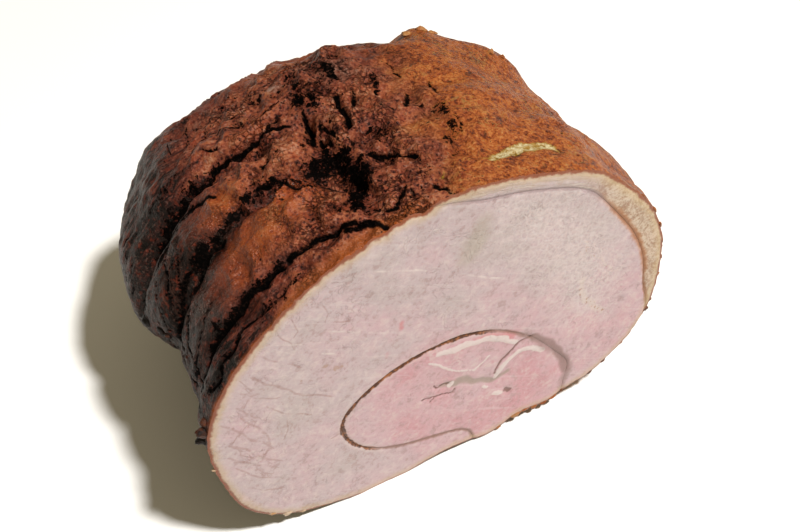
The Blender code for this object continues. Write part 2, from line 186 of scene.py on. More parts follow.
# Burnt stretches: half width, strength, then the places
BURNT = (
    (2.9, 1, (103.5, 69), (103.5, 65), (105, 60)), (2.2, 0.8, (102, 62), (100, 61), (102, 56), (105, 56)),
    (2.4, 0.9, (92, 71), (92, 68), (94, 62)), (4.2, 1.1, (113, 34), (108, 36), (106, 32), (106, 26)),
    (3.6, 1.1, (103, 24), (106, 21), (110, 13)),
    (2.2, 0.7, (130, 38), (126, 38), (121, 36), (118, 32), (118, 28), (115, 27)),
    (2.2, 0.68, (75, 37), (76, 30.5), (76.5, 27), (78.5, 24), (81, 20), (82, 15)),
    (2.6, 0.6, (153, 67), (147, 68), (142, 67), (137, 66)),
    (3.2, 1.1, (176, 55), (169, 52), (163, 54), (157.5, 58), (152, 60), (146, 60), (142, 59), (138, 59)),
    (1.5, 0.9, (157.5, 50), (152, 51), (146, 51.5), (142, 51)), (1.6, 0.9, (138, 59), (134, 61), (130, 61)),
    (1.9, 1, (133, 38), (138, 38), (141, 37.5), (146, 38), (150, 37.5)),
    (1, 0.9, (150, 37.5), (156, 36), (162, 32), (167, 30)), (1.4, 0.55, (152, 46), (156, 41), (160, 36)),
    (1.5, 0.9, (132, 12), (138, 13), (145, 13.5), (152, 12.5), (158, 12), (164, 10), (170, 8)),
    (1.4, 0.6, (130, 5), (137, 5), (145, 7), (152, 6), (160, 4.5)),
    (1.8, 0.5, (146, 10), (155, 9), (163, 8)), (1.3, 0.8, (83, 61), (84, 58), (85, 54)),
    (1.2, 0.6, (107, 55), (109, 43)), (2, 0.45, (128, 82), (128, 77)), (2.4, 0.45, (136, 93), (136, 80)),
    (2, 0.4, (141, 82), (143, 74)),
)
# Fat that cracks through the flap: the same
FAT_LINES = (
    (0.55, 0.55, (78, 37), (72, 36), (60, 34)),
    (0.9, 1, (73, 11.5), (68.5, 12.6), (63.5, 13.6), (59, 13.5), (56, 12), (55, 9.5)),
    (1.9, 0.9, (75, 10.6), (70.5, 10.6), (65.5, 11.6), (59.5, 12), (56, 11.4)),
    (1.5, 0.5, (90, 7), (85, 10), (81, 11), (76, 11)), (1.6, 0.4, (86, 13), (80, 13.5), (74, 13)),
    (0.8, 0.35, (77, 60), (75, 53), (77, 45)),
)
# Knobs on the crust's skyline: place, half girth, half length, height
KNOBS = (
    (88, 80, 2.6, 6, 1), (82, 79, 2.2, 6, 0.9), (75.5, 82, 2.4, 6, 0.9), (69.5, 77, 2, 6, 0.7),
    (93, 71, 2.6, 3.4, 0.8), (86, 71, 2.4, 3, 0.7), (98, 68, 2.2, 3, 0.6), (79, 70, 2.6, 3.2, 0.6),
)
# Glossy, paler patches between the strings, the smooth swells there, and dull grey-brown patches, each as
# place, half girth, half length, strength
BRIGHT = (
    (128, 24, 11, 6, 0.26), (139, 25, 9, 6, 0.2), (136, 43, 9, 4.5, 0.26), (146, 27, 7, 5, 0.12),
    (119, 64, 6, 3.5, 0.16), (99, 92, 12, 9, 0.26), (112, 50, 4, 6, 0.1), (108.5, 73, 3, 3, 0.3),
    (118, 42, 6, 5, 0.12), (88, 52, 7, 8, 0.1), (86, 33, 7, 6, 0.12),
)
SWELLS = (
    (134, 26, 20, 9, 1), (146, 25, 12, 9, 0.8), (138, 44, 12, 5.5, 0.9), (118, 30, 8, 5, 0.5),
)
DULL = (
    (89, 69, 6, 8, 0.9), (107, 73, 3.5, 3.5, 1.2), (98, 75, 6, 5, 0.6), (154, 41, 9, 4, 0.9),
    (112, 30, 7, 9, 0.5), (163, 36, 8, 6, 0.7), (100, 12, 8, 6, 0.35), (130, 86, 9, 6, 0.6),
    (96, 62, 5, 8, 0.5), (118, 80, 7, 6, 0.4), (78, 84, 6, 5, 0.6), (102, 22, 6, 6, 0.4),
    (160, 38, 14, 8, 0.8), (164, 24, 14, 9, 0.7), (166, 12, 14, 8, 0.5), (148, 78, 14, 12, 0.45),
    (130, 70, 12, 9, 0.4),
)

# ---------------------------------------------------------------- marks of the cut face
# Places of the face are measured across and up from the middle of its foot, in millimetres.
# The core's outline, as the chain of bends that its seam with the wrap makes
CORE_SEAM = (
    (43.6, -4), (44, 12), (44.7, 20), (40, 27.8), (30, 40.4), (18.2, 50.2), (6, 55.1), (-6, 55.4),
    (-18, 52.9), (-29, 47), (-34.3, 40), (-34, 32.5), (-28.5, 23.6), (-17, 16.6), (-3, 13.2), (8, 8.8),
    (12.5, -4),
)
# Streaks of fat, brown clefts, grey tissue and so on: half width, strength, then the places
FACE_LINES = {
    "fatty": (
        (1.2, 1, (17.5, 30.1), (20.7, 35.4), (24.1, 38.1), (29.6, 36.6), (33.6, 32.9)),
        (1.5, 1, (-3.4, 52.2), (7.6, 50.9), (14.5, 49.2), (19.9, 46.4)), (1.2, 1, (0.9, 35.4), (1.6, 35.9)),
        (0.9, 1, (12.6, 27.4), (13.8, 26.7)), (1, 1, (17.6, 21.9), (19.5, 20.6)),
        (0.5, 1, (-6.7, 50.4), (-2.3, 45.8), (3, 41.2), (9, 37.4), (13.7, 41.3)),
        (1.2, 1, (14.5, 49), (20, 45), (24, 42.5)),
    ),
    "brown": (
        (0.55, 1, (17, 31.5), (19.2, 36.6), (21.5, 39.2), (25, 41.2), (29.5, 41.6)),
        (0.45, 1, (-8.8, 33.1), (-3.6, 32.3), (1.6, 31.5), (3, 33.2)), (0.4, 1, (-6, 31), (-3.6, 32.3)),
        (1.3, 1, (21.4, 20.9), (22.8, 19.8)), (0.5, 1, (-4.5, 38.5), (-3.5, 36.5), (0.5, 36.2)),
    ),
    "grey": (
        (1.7, 1, (-2, 36.6), (5.5, 35), (9.5, 32), (16, 28.9), (21, 29.4)),
        (2.2, 1, (30, 41), (36, 35.5), (41, 27.5), (44.5, 17)),
    ),
    "pale": (
        (0.45, 1, (45, 75.2), (44.8, 70.4), (48.5, 67.3), (52.7, 62.3), (56.3, 57)),
        (1.6, 1, (45.3, 58.1), (46.5, 52.5), (48.4, 47.7), (55.1, 39.6)),
    ),
    "spots": (
        (1.1, 1, (-39.4, 68.1), (-38.9, 67.9)), (1.3, 1, (-36.8, 65.4), (-34.1, 64.6)),
        (0.8, 1, (-46.1, 65.8), (-46, 65.2)),
    ),
    "greenish": (
        (4.5, 1, (5, 88), (9, 99)),
    ),
    "red": (
        (1.238, 0.7, (-15.5, 72.3), (-15.6, 70.3)), (0.962, 0.45, (-19.9, 62), (-20.1, 60.2)),
        (2.475, 0.65, (11, 51.6), (17.5, 48.6), (22, 46.4)), (1.513, 0.5, (8.5, 52.4), (12, 52.2)),
        (1.1, 0.45, (15.6, 38.4), (16, 37.6)),
    ),
}
# Thin veins that run in from the rim: their width as a share of the usual one, then the places
VEINS = (
    (0.9, (-56.5, 81.5), (-53.5, 78), (-49.5, 74.5), (-46, 71.5)),
    (0.7, (-63, 75.5), (-61, 71.5), (-60, 67.5)),
    (1, (-59.5, 74.5), (-56.5, 70.5), (-53, 68), (-48, 61), (-42.5, 57.5), (-37.5, 53.5)),
    (0.9, (-63.5, 70.5), (-59, 66), (-53.5, 62.5)), (1, (-65.5, 66.5), (-61.5, 59.5), (-58, 56)),
    (1, (-64, 60), (-60, 53.5), (-57.5, 48), (-57, 43), (-60, 39)),
    (1, (-69.5, 60.5), (-65, 54.5), (-62, 50), (-56.5, 42.5)), (0.7, (-61.5, 66.5), (-63.5, 63)),
    (1.1, (-69, 51), (-64, 46.5), (-58, 37.5), (-54.5, 35)), (0.6, (-66.5, 49.5), (-66, 45), (-62.5, 41.5)),
    (1, (-69.5, 45.5), (-63.5, 39.5), (-56, 32.5)), (0.9, (-67.5, 39.5), (-61.5, 31.5), (-55.5, 27.5)),
    (0.8, (-66, 30), (-60.5, 24.5), (-54.5, 21.5)), (0.7, (-63, 56), (-65.5, 54), (-67.5, 51.5)),
    (0.8, (-56.5, 60.5), (-52, 55), (-44.5, 50)), (0.6, (-51.5, 54), (-51, 48.5), (-52.5, 44.5)),
    (0.6, (-38.5, 92), (-37, 87.5), (-38, 85)), (0.6, (-47.5, 91), (-45.5, 85.5), (-47, 84)),
    (0.6, (-51.5, 86.5), (-48, 82), (-47, 77.5)), (0.6, (-35.5, 83.5), (-31.5, 82), (-30.5, 78.5)),
    (0.8, (-38.5, 35), (-36, 35.5), (-33, 34)), (0.6, (-62, 37), (-60.5, 33), (-57, 30.5)),
)
# Straight scratches of the knife, and the outline of the patch with a coarse grain
KNIFE_MARKS = (
    ((-43.8, 84.4), (-32.1, 78)), ((-32.1, 78), (-18.9, 69.8)), ((-28.5, 99.1), (-8.3, 89.3)),
    ((-11.9, 91.5), (-7.7, 88.6)), ((-0.2, 84.4), (11.7, 76.5)), ((11.7, 76.5), (23.4, 69.7)),
    ((47.8, 56), (55.7, 51)), ((-55.6, 85.1), (-44.3, 79.6)), ((-40, 73.5), (-35.7, 71)),
)
GRANULAR = (
    (14, 108), (34, 100), (54, 78), (60, 56), (56, 36), (44, 38), (31, 62), (18, 86),
)


def smooth(x):
    """0 up to 1 with level ends."""
    x = np.clip(x, 0.0, 1.0)
    return x * x * (3.0 - 2.0 * x)


def rise(value, start, run):
    """0 below the start, 1 when the run is over, and smooth between."""
    return smooth((value - start) / run)


def fall(value, end, run):
    """1 before the run, 0 from the end on, and smooth between."""
    return smooth((end - value) / run)


def noise(points, size, seed):
    """Gradient noise, about -1 to 1, over points of shape (..., 3), with features of the given size."""
    draw = np.random.RandomState(seed)
    order = draw.permutation(256)
    slopes = draw.normal(size=(256, 3))
    slopes /= np.linalg.norm(slopes, axis=1, keepdims=True)
    place = points / size
    cell = np.floor(place).astype(int)
    inner = place - cell
    fade = inner ** 3 * (inner * (inner * 6.0 - 15.0) + 10.0)
    total = 0.0
    for i in (0, 1):
        for j in (0, 1):
            for k in (0, 1):
                corner = cell + (i, j, k)
                pick = order[(corner[..., 1] + order[corner[..., 0] % 256]) % 256]
                pick = order[(corner[..., 2] + pick) % 256]
                share = np.prod(np.where((i, j, k), fade, 1.0 - fade), axis=-1)
                total = total + share * np.sum(slopes[pick] * (inner - (i, j, k)), axis=-1)
    return total * 1.6


def patches(angle, along, places):
    """Sum of soft patches of the crust."""
    total = 0.0
    for place_angle, place_along, half_girth, half_length, strength in places:
        aside = (np.mod(angle - place_angle + 180.0, 360.0) - 180.0) * GIRTH / (half_girth * MM)
        ahead = (along - place_along * MM) / (half_length * MM)
        total = total + strength * np.exp(-aside ** 2 - ahead ** 2)
    return total


def closing(t, half, exponent):
    """Half size of a section at the fraction t of the length."""
    return half * np.maximum(1.0 - np.clip(t, 0.0, 1.0) ** exponent, 1e-9) ** (1.0 / exponent)


def body(angle, along):
    """Point of the roll without its relief: angle in degrees round the section, along from the cut face."""
    turn = np.radians(angle)
    c, s = np.cos(turn), np.sin(turn)
    t = along / LENGTH
    swell = np.sin(np.pi * np.clip(t, 0.0, 1.0))
    right = closing(t, HALF_RIGHT, CLOSE_RIGHT) + SWELL_RIGHT * swell
    left = closing(t, HALF_LEFT, CLOSE_LEFT) + SWELL_LEFT * swell
    top = closing(t, HALF_TOP, CLOSE_TOP) + SWELL_TOP * swell
    bottom = closing(t, HALF_BOTTOM, CLOSE_BOTTOM)
    wide = np.where(c >= 0, right, left)
    high = np.where(s >= 0, top, bottom)
    upper = np.where(c >= 0, ROUND_TOP_RIGHT, ROUND_TOP_LEFT)
    lower = np.where(c >= 0, ROUND_LOW_RIGHT, ROUND_LOW_LEFT)
    power = np.where(s >= 0, upper, lower)
    radius = ((np.abs(c) / wide) ** power + (np.abs(s) / high) ** power) ** (-1.0 / power)
    under = np.exp(-((np.mod(angle, 360.0) - UNDERCUT_ANGLE) / UNDERCUT_WIDTH) ** 2)
    under = under * np.clip(along / 0.025, 0.0, 1.0) * np.minimum(1.0, radius / 0.04)
    radius = radius - UNDERCUT_DEPTH * under
    radius = np.maximum(radius, 0.0001)
    x = radius * c - END_SHIFT * t * t
    z = CENTRE_Z - END_DROP * t * t + radius * s
    y = along - END_LEAN * t * t * (z - CENTRE_Z) / CENTRE_Z
    return np.stack(np.broadcast_arrays(x, y, z), axis=-1)


def outward(angle, along):
    """Unit normal of the body, kept in the plane of the section near the cut face."""
    d_angle, d_along = 0.5, 0.0004
    along = np.clip(along, d_along, LENGTH * 0.9995 - d_along)
    round_way = body(angle + d_angle, along) - body(angle - d_angle, along)
    long_way = body(angle, along + d_along) - body(angle, along - d_along)
    normal = np.cross(long_way, round_way)
    normal[..., 1] *= rise(along, 0.0, 0.012)
    return normal / np.linalg.norm(normal, axis=-1, keepdims=True)


def string_bite(angle):
    """How deep a string bites: little into the top and hardly below, and fully into the left-hand side."""
    top_side = smooth(0.62 + 0.9 * np.sin(np.radians(angle)))
    return top_side * (0.26 + 0.66 * fall(angle, 56.0, 40.0) + 0.74 * rise(angle, 102.0, 24.0))


def string_line(angle, place, slant, gather):
    """Distance of a string's groove from the cut, angle by angle."""
    wander = 0.0008 * np.sin(np.radians(5.0 * angle))
    return place - slant * np.cos(np.radians(angle)) - gather * rise(angle, 140.0, 26.0) + wander


def relief(angle, along, base):
    """Height of the crust over the body: string grooves, lumps and pits, unevenness and char crags."""
    height = MM * patches(angle, along, LUMPS)
    for place, slant, gather, half_width, depth in STRINGS:
        aside = (along - string_line(angle, place, slant, gather)) / half_width
        height = height - depth * string_bite(angle) * np.exp(-aside ** 2)
    height = height + LUMP_HEIGHT * noise(base, LUMP_SIZE, LUMP_SEED) * smooth(0.25 + along / 0.02)
    char = smooth(1.3 - np.abs(angle - 112.0) / 42.0) * rise(along, 0.0, 0.01)
    crag = 0.45 - 2.2 * np.abs(noise(base, CRAG_SIZE, CRAG_SEED))
    return height + CRAG_HEIGHT * char * crag


def flap_thickness(angle, along):
    """Thickness of the flap, below zero where there is none."""
    free_edge = FLAP_EDGE + FLAP_EDGE_SWING * np.exp(-along / FLAP_EDGE_REACH)
    free_edge = free_edge + FLAP_WANDER * np.sin(along / FLAP_WAVE) * rise(along, 0.0, 0.02)
    back_end = FLAP_END + 0.0025 * np.sin(np.radians(4.0 * angle)) - 0.010 * rise(angle, 40.0, 40.0)
    share = rise(angle, FLAP_FOOT, FLAP_FOOT_RUN) * fall(angle, free_edge, FLAP_EDGE_RUN)
    share = share * fall(along, back_end, FLAP_END_RUN)
    thick = FLAP_THIN + FLAP_THICK * np.exp(-((angle - FLAP_THICK_ANGLE) / FLAP_THICK_SPREAD) ** 2)
    return (thick + FLAP_CLEAR) * share - FLAP_CLEAR


def smooth_chain(bends, steps):
    """Smooth open line through the bends (Catmull-Rom)."""
    bends = np.array(bends)
    ends = np.vstack([2 * bends[0] - bends[1], bends, 2 * bends[-1] - bends[-2]])
    line = []
    for before, start, stop, after in zip(ends, ends[1:], ends[2:], ends[3:]):
        for t in np.arange(steps) / steps:
            pull = (stop - before) * t + (2 * before - 5 * start + 4 * stop - after) * t * t
            line.append(start + 0.5 * (pull + (3 * start - before - 3 * stop + after) * t ** 3))
    return np.array(line + [bends[-1]])


def widened(outline, by):
    """Closed outline moved outwards by a small distance."""
    way = np.roll(outline, -1, axis=0) - np.roll(outline, 1, axis=0)
    way /= np.linalg.norm(way, axis=1, keepdims=True)
    side = np.stack([way[:, 1], -way[:, 0]], axis=1)
    area = np.sum(outline[:, 0] * np.roll(outline[:, 1], -1) - np.roll(outline[:, 0], -1) * outline[:, 1])
    return outline + side * by * np.sign(area)


def placed(points):
    """Points measured from the cut face, moved to the part's own origin."""
    return points + (SHIFT_X, CUT_Y, 0.0)


# ---------------------------------------------------------------- the crust at full detail
def running(steps):
    """Running total of the steps, from 0."""
    return np.concatenate([[0.0], np.cumsum(steps)])


def round_angles():
    """Angles of the points round a section: evenly spread along the crust, wider apart underneath."""
    angle = np.linspace(-60.0, 300.0, 3601)
    line = body(angle, 0.04)
    step = np.linalg.norm(np.diff(line, axis=0), axis=1)
    middle = 0.5 * (angle[1:] + angle[:-1])
    step *= 1.0 - 0.5 * (rise(middle, 205.0, 20.0) + fall(middle, -25.0, 20.0))
    total = running(step)
    return np.interp(np.arange(FINE_ROUND) * total[-1] / FINE_ROUND, total, angle)


def fine_rows():
    """Distances of the sections from the cut, evenly spread along the crust and over the rounded end."""
    straight = np.arange(0.0, SHOULDER, FINE_ROW)
    first = closing(SHOULDER / LENGTH, 1.0, FINE_END_POWER)
    radius = np.linspace(first, FINE_END_TIP, 800)
    along = closing(radius, LENGTH, FINE_END_POWER)
    run = running(np.hypot(np.diff(along), MIDDLE_RADIUS * np.diff(radius)))
    return np.concatenate([straight, np.interp(np.arange(0.0, run[-1], FINE_END_ROW), run, along)])


def line_distance(across, along, points):
    """Distance in a plane from the line through the points."""
    best = np.full(np.shape(across), 1e9)
    for (x0, y0), (x1, y1) in zip(points, points[1:]):
        run = (x1 - x0) ** 2 + (y1 - y0) ** 2
        t = np.clip(((across - x0) * (x1 - x0) + (along - y0) * (y1 - y0)) / run, 0.0, 1.0)
        best = np.minimum(best, np.hypot(across - x0 - t * (x1 - x0), along - y0 - t * (y1 - y0)))
    return best


def on_crust(points):
    """Places of the crust, as metres of girth and metres along."""
    return [(angle * GIRTH, along * MM) for angle, along in points]


def on_face(points):
    """Places of the cut face, in metres."""
    return [(across * MM, up * MM) for across, up in points]


def line_share(x, y, lines, place, reach):
    """How much of each place the lines cover, each to its own strength."""
    total = np.zeros(np.shape(x))
    for half_width, strength, *points in lines:
        away = line_distance(x, y, place(points)) / (half_width * reach * MM)
        total = np.maximum(total, strength * (1.0 - smooth(away)))
    return total


def cracks(girth, length, lines):
    """Distance to the nearest of the cracks, in half widths of that crack, and how deep they bite."""
    nearest, bite = np.full(np.shape(length), 8.0), np.zeros(np.shape(length))
    for half_width, depth, *points in lines:
        near = line_distance(girth, length, on_crust(points)) / (half_width * MM)
        nearest = np.minimum(nearest, near)
        bite = np.maximum(bite, depth * np.exp(-near ** 2))
    return nearest, bite


def fine_crust(angle, along):
    """Fine relief of the crust, and the fields of its finish, over a grid of angle and along."""
    base = body(angle, along)
    girth = angle * GIRTH + 0.9 * MM * noise(base, 0.006, 41)
    length = along + 0.9 * MM * noise(base, 0.006, 42)
    soot = 0.85 * line_share(girth, length, BURNT, on_crust, 1.75)
    fat = line_share(girth, length, FAT_LINES, on_crust, 1.6)
    crack, bite = cracks(girth, length, CRACKS + WRINKLES)

    # where the crust is tan, charred, drawn into fibrous folds, and smooth and glossy
    tan_edge = 89.0 - 250.0 * along + 7.0 * noise(base, 0.010, 43) + 4.0 * noise(base, 0.004, 44)
    tan = smooth((tan_edge - angle) / 16.0 + 0.5) * rise(angle, -70.0, 30.0)
    drift = angle + 9.0 * noise(base, 0.017, 46) + 4.0 * noise(base, 0.007, 47)
    hind = rise(along, 0.094, 0.022)
    charred = smooth(1.25 - np.abs(drift - 106.0) / 38.0) * fall(along, 0.100, 0.02) * (1.0 - 0.85 * tan)
    left = rise(drift, 128.0, 24.0) * fall(drift, 255.0, 35.0) * (1.0 - 0.65 * hind)
    folded = np.maximum(left, 0.8 * rise(drift, 112.0, 14.0) * rise(along, 0.048, 0.014))
    folded = folded * fall(drift, 255.0, 35.0) * (1.0 - hind)
    glow = patches(angle, along, BRIGHT)
    bright = np.clip(3.0 * glow, 0.0, 1.0)
    swell = np.clip(1.5 * patches(angle, along, SWELLS), 0.0, 1.0)

    # crags on the burnt parts, and fibres that run round the roll in the folds
    rough = (0.25 + 0.95 * charred + 0.15 * left) * (1.0 - 0.75 * bright) * (1.0 - 0.5 * folded)
    big = 0.30 - 1.9 * np.abs(noise(base, 0.0058, 21))
    middle = 0.30 - 1.9 * np.abs(noise(base, 0.0029, 22))
    stretched = np.stack([angle * GIRTH / 6.0, along + 0.002 * noise(base, 0.012, 24), 0.0 * along], axis=-1)
    fibre = noise(stretched, 0.0012, 25)
    broad_fibre = noise(stretched * (1.5, 1.0, 1.0), 0.0030, 26)
    height = rough * (big + 0.55 * middle) + (0.10 + 0.14 * charred) * noise(base, 0.0017, 23)
    height += folded * (0.30 * fibre + 0.60 * broad_fibre) * (1.0 - 0.8 * bright) * rise(along, 0.0, 0.004)
    height += patches(angle, along, KNOBS) - 0.9 * bite - 0.35 * soot - 0.5 * smooth(fat * 1.3 - 0.5)

    # the strings' grooves, the glazed strip along the cut and its browned edge
    groove = np.zeros(np.shape(along))
    for place, slant, gather, half_width, depth in STRINGS:
        aside = (length - string_line(angle, place, slant, gather)) / half_width
        groove = np.maximum(groove, string_bite(angle) * np.exp(-aside ** 2) * min(1.0, depth / 0.0034))
    rim_side = rise(angle, 92.0, 12.0) * fall(angle, 222.0, 20.0)
    strip = rim_side * smooth((0.0056 - 0.0044 * rise(angle, 122.0, 26.0) - length) / 0.0022)
    edge = rim_side * smooth((0.0011 - along + 0.0006 * noise(base, 0.003, 45)) / 0.0009)
    lower = rise(angle, 147.0, 9.0) * fall(along, 0.052, 0.007) * rise(along, 0.010, 0.006)

    # the tone, with painted shade: darker on the left and more so towards its back, darker in the strings'
    # grooves, and lighter on the crests and darker in the hollows of the crags and fibres
    tone = 0.46 + 0.10 * noise(base, 0.011, 31) + 0.08 * noise(base, 0.0045, 32)
    tone += 0.07 * charred - 0.17 * left - 0.14 * rise(drift, 142.0, 14.0) * left - 0.24 * groove ** 2
    tone += 0.9 * glow + 0.10 * strip - 0.05 * tan * rise(along, 0.05, 0.03)
    tone += 0.06 * rough * (big + middle) + 0.06 * folded * (fibre + broad_fibre)
    # painted shade joins the soot: dark in the hollows of the crags, in the strings' grooves (more so on the
    # left) and in the hollows of the fibrous folds
    cavity = rough * (big + 0.6 * middle)
    soot = np.maximum(soot, 0.50 * smooth((-cavity - 0.15) / 0.75) * (0.35 + 0.65 * charred))
    soot = np.maximum(soot, groove ** 4 * (0.30 + 0.45 * left))
    soot = np.maximum(soot, 0.58 * folded * smooth((-fibre - broad_fibre - 0.15) / 0.6) * (1.0 - bright))
    fields = {
        "tone": tone, "soot": soot * (1.0 - 0.9 * strip), "crack": crack, "fat": fat, "strip": strip,
        "edge": edge, "tan": tan, "char": charred, "fibrous": folded, "girth": angle * GIRTH,
        "strand": along + 0.0019 * lower * (angle - 150.0),
        "wet": np.maximum(np.maximum(bright, 0.8 * strip), swell),
        "dull": np.clip(patches(angle, along, DULL), 0.0, 1.0),
    }
    return base, MM * height, fields


def fine_skin(angle, along):
    """Points of the detailed crust and its fields."""
    base, height, fields = fine_crust(angle, along)
    end = 0.35 + 0.65 * smooth((LENGTH - along) / 0.02)
    total = relief(angle, along, base) * end + height
    point = base + outward(angle, along) * total[..., None]
    point[..., 1] = np.maximum(point[..., 1], 0.0)
    point[..., 2] = np.maximum(point[..., 2], 0.0)
    point[0, :, 1] = 0.0
    return point, fields


# ---------------------------------------------------------------- meshes
def face_fill(ring):
    """Points inside the outline of the cut face, and the triangles that join them to it."""
    across, up = ring[:, 0], ring[:, 2] - CENTRE_Z
    turn = np.arctan2(up, across)
    order = np.argsort(turn)
    reach = np.hypot(across, up)[order]
    rows = np.arange(-FACE_HIGH, FACE_HIGH, FACE_ROW)
    columns = np.arange(-FACE_WIDE, FACE_WIDE, FACE_STEP)
    x, z = np.meshgrid(columns, rows)
    x = x + 0.5 * FACE_STEP * (np.arange(len(rows)) % 2)[:, None]
    draw = np.random.RandomState(FACE_SEED)
    x = x + draw.uniform(-FACE_JITTER, FACE_JITTER, x.shape) * FACE_STEP
    z = z + draw.uniform(-FACE_JITTER, FACE_JITTER, z.shape) * FACE_STEP
    limit = np.interp(np.arctan2(z, x), turn[order], reach, period=2.0 * np.pi)
    inside = np.hypot(x, z) < limit - FACE_RIM
    inner = np.stack([x[inside], np.zeros(inside.sum()), z[inside] + CENTRE_Z], axis=-1)
    every = np.vstack([ring, inner])
    flat = [Vector((p[0] / MM, p[2] / MM)) for p in every]
    count = len(ring)
    found = delaunay_2d_cdt(flat, [], [list(range(count))], 1, 1e-5)
    kept = [same[0] for same in found[3]]
    return inner, [[kept[i] for i in face] for face in found[2]]


def added(name, data):
    """A new object in the scene."""
    thing = bpy.data.objects.new(name, data)
    bpy.context.scene.collection.objects.link(thing)
    return thing


def piece_mesh(name, points, faces, kinds, finishes):
    """Mesh from points and faces, with a finish for each kind of face."""
    data = bpy.data.meshes.new(name)
    data.from_pydata(points.tolist(), [], faces)
    for finish in finishes:
        data.materials.append(finish)
    data.polygons.foreach_set("material_index", np.asarray(kinds, dtype=np.int32))
    data.update()
    return data


def quads_between(rows, count):
    """Faces of a closed loft of rows of points."""
    low = (np.arange(rows - 1)[:, None] * count + np.arange(count)[None, :]).ravel()
    ahead = (np.arange(rows - 1)[:, None] * count + (np.arange(count) + 1)[None, :] % count).ravel()
    return np.stack([low, low + count, ahead + count, ahead], axis=-1).tolist()


def fine_roll(finishes):
    """The whole roll at full detail, with the fields of its crust point by point."""
    angle, along = np.meshgrid(round_angles(), fine_rows())
    skin, fields = fine_skin(angle, along)
    rows, count = angle.shape
    inner, front = face_fill(skin[0])
    crust_points = skin.reshape(-1, 3)
    tip = crust_points[-count:].mean(axis=0)
    points = np.vstack([crust_points, inner, tip])
    first_inner = len(crust_points)
    front = [[i if i < count else i - count + first_inner for i in face] for face in front]
    last = first_inner - count
    back = [[last + i, len(points) - 1, last + (i + 1) % count] for i in range(count)]
    side = quads_between(rows, count)
    faces = side + back + front
    kinds = [0] * (len(side) + len(back)) + [1] * len(front)
    data = piece_mesh("roll", placed(points), faces, kinds, finishes)
    flat = {name: np.append(values.ravel(), values[-1].mean()) for name, values in fields.items()}
    return data, placed(np.vstack([crust_points, tip])), flat


def face_outward(data):
    """Turn the faces of a closed mesh so that they look outwards."""
    mesh = bmesh.new()
    mesh.from_mesh(data)
    bmesh.ops.recalc_face_normals(mesh, faces=mesh.faces)
    mesh.to_mesh(data)
    mesh.free()


def core_space(by, finishes):
    """The space of the core, from before the cut face to behind the end."""
    outline = widened(smooth_chain(on_face(CORE_SEAM), FINE_SEAM_STEPS), by)
    count = len(outline)
    ends = (-CORE_PAST, LENGTH + CORE_PAST)
    loops = [np.stack([outline[:, 0], np.full(count, y), outline[:, 1]], axis=1) for y in ends]
    faces = quads_between(2, count) + [list(range(count)), list(range(2 * count - 1, count - 1, -1))]
    data = piece_mesh("core_space", placed(np.vstack(loops)), faces, [1] * len(faces), finishes)
    face_outward(data)
    return data


def flap_space(by, finishes):
    """The space of the flap: its inner side follows the crust, its outer side stands clear of it."""
    angle = np.linspace(FLAP_FOOT - 1.0, FLAP_EDGE + FLAP_EDGE_SWING + 1.0, SLAB_ROUND)
    rows = np.arange(0.0, FLAP_END + SLAB_ROW, SLAB_ROW)
    grid_angle, grid_along = np.meshgrid(angle, rows)
    base = body(grid_angle, grid_along)
    out = outward(grid_angle, grid_along)
    low = relief(grid_angle, grid_along, base) - flap_thickness(grid_angle, grid_along) - by
    loops = np.concatenate([base + out * low[..., None], (base + out * SLAB_OUT)[:, ::-1]], axis=1)
    loops = np.concatenate([loops[:1] - (0.0, SLAB_FRONT, 0.0), loops])
    count = loops.shape[1]
    faces = quads_between(len(loops), count)
    for start in (0, (len(loops) - 1) * count):
        for i in range(count // 2 - 1):
            faces.append([start + i, start + i + 1, start + count - 2 - i, start + count - 1 - i])
    data = piece_mesh("flap_space", placed(loops.reshape(-1, 3)), faces, [1] * len(faces), finishes)
    face_outward(data)
    return data


def carved(name, data, steps):
    """Mesh of a piece after the Boolean steps, each an operation and the mesh of its cutter."""
    whole = added(name, data)
    cutters = []
    for operation, space in steps:
        cutter = added(name + "_space", space)
        step = whole.modifiers.new("carve", "BOOLEAN")
        step.operation = operation
        step.object = cutter
        step.solver = "MANIFOLD"
        cutters.append(cutter)
    weld = whole.modifiers.new("weld", "WELD")
    weld.merge_threshold = WELD
    result = bpy.data.meshes.new_from_object(whole.evaluated_get(bpy.context.evaluated_depsgraph_get()))
    for used in [whole] + cutters:
        bpy.data.objects.remove(used)
    result.name = name
    return result


def without_scraps(data):
    """Drop what the carving left loose, and keep the largest body."""
    mesh = bmesh.new()
    mesh.from_mesh(data)
    left, bodies = set(mesh.faces), []
    while left:
        edge = [left.pop()]
        found = list(edge)
        while edge:
            near = {other for rim in edge.pop().edges for other in rim.link_faces} & left
            left -= near
            edge += near
            found += near
        bodies.append(found)
    bodies.sort(key=len)
    scraps = [face for found in bodies[:-1] for face in found]
    bmesh.ops.delete(mesh, geom=scraps, context="FACES")
    mesh.to_mesh(data)
    mesh.free()


# ---------------------------------------------------------------- the cut face and the pieces
def side_of_lines(x, z, lines):
    """Distance to the nearest line over its weight, and the same with a sign for its side."""
    far, side = np.full(len(x), 0.01), np.full(len(x), 0.01)
    for weight, *points in lines:
        chain = on_face(points)
        for (x0, z0), (x1, z1) in zip(chain, chain[1:]):
            near = line_distance(x, z, [(x0, z0), (x1, z1)]) / weight
            turned = (x - x0) * (z1 - z0) - (z - z0) * (x1 - x0)
            closer = near < far
            far = np.where(closer, near, far)
            side = np.where(closer, near * np.sign(turned), side)
    return far / MM, side / MM


def inside_outline(x, z, outline):
    """Whether each place lies inside a closed outline."""
    within = np.zeros(len(x), dtype=bool)
    for (x0, z0), (x1, z1) in zip(outline, outline[1:] + outline[:1]):
        crosses = (z0 > z) != (z1 > z)
        within ^= crosses & (x < x0 + (z - z0) * (x1 - x0) / (z1 - z0 + 1e-12))
    return within


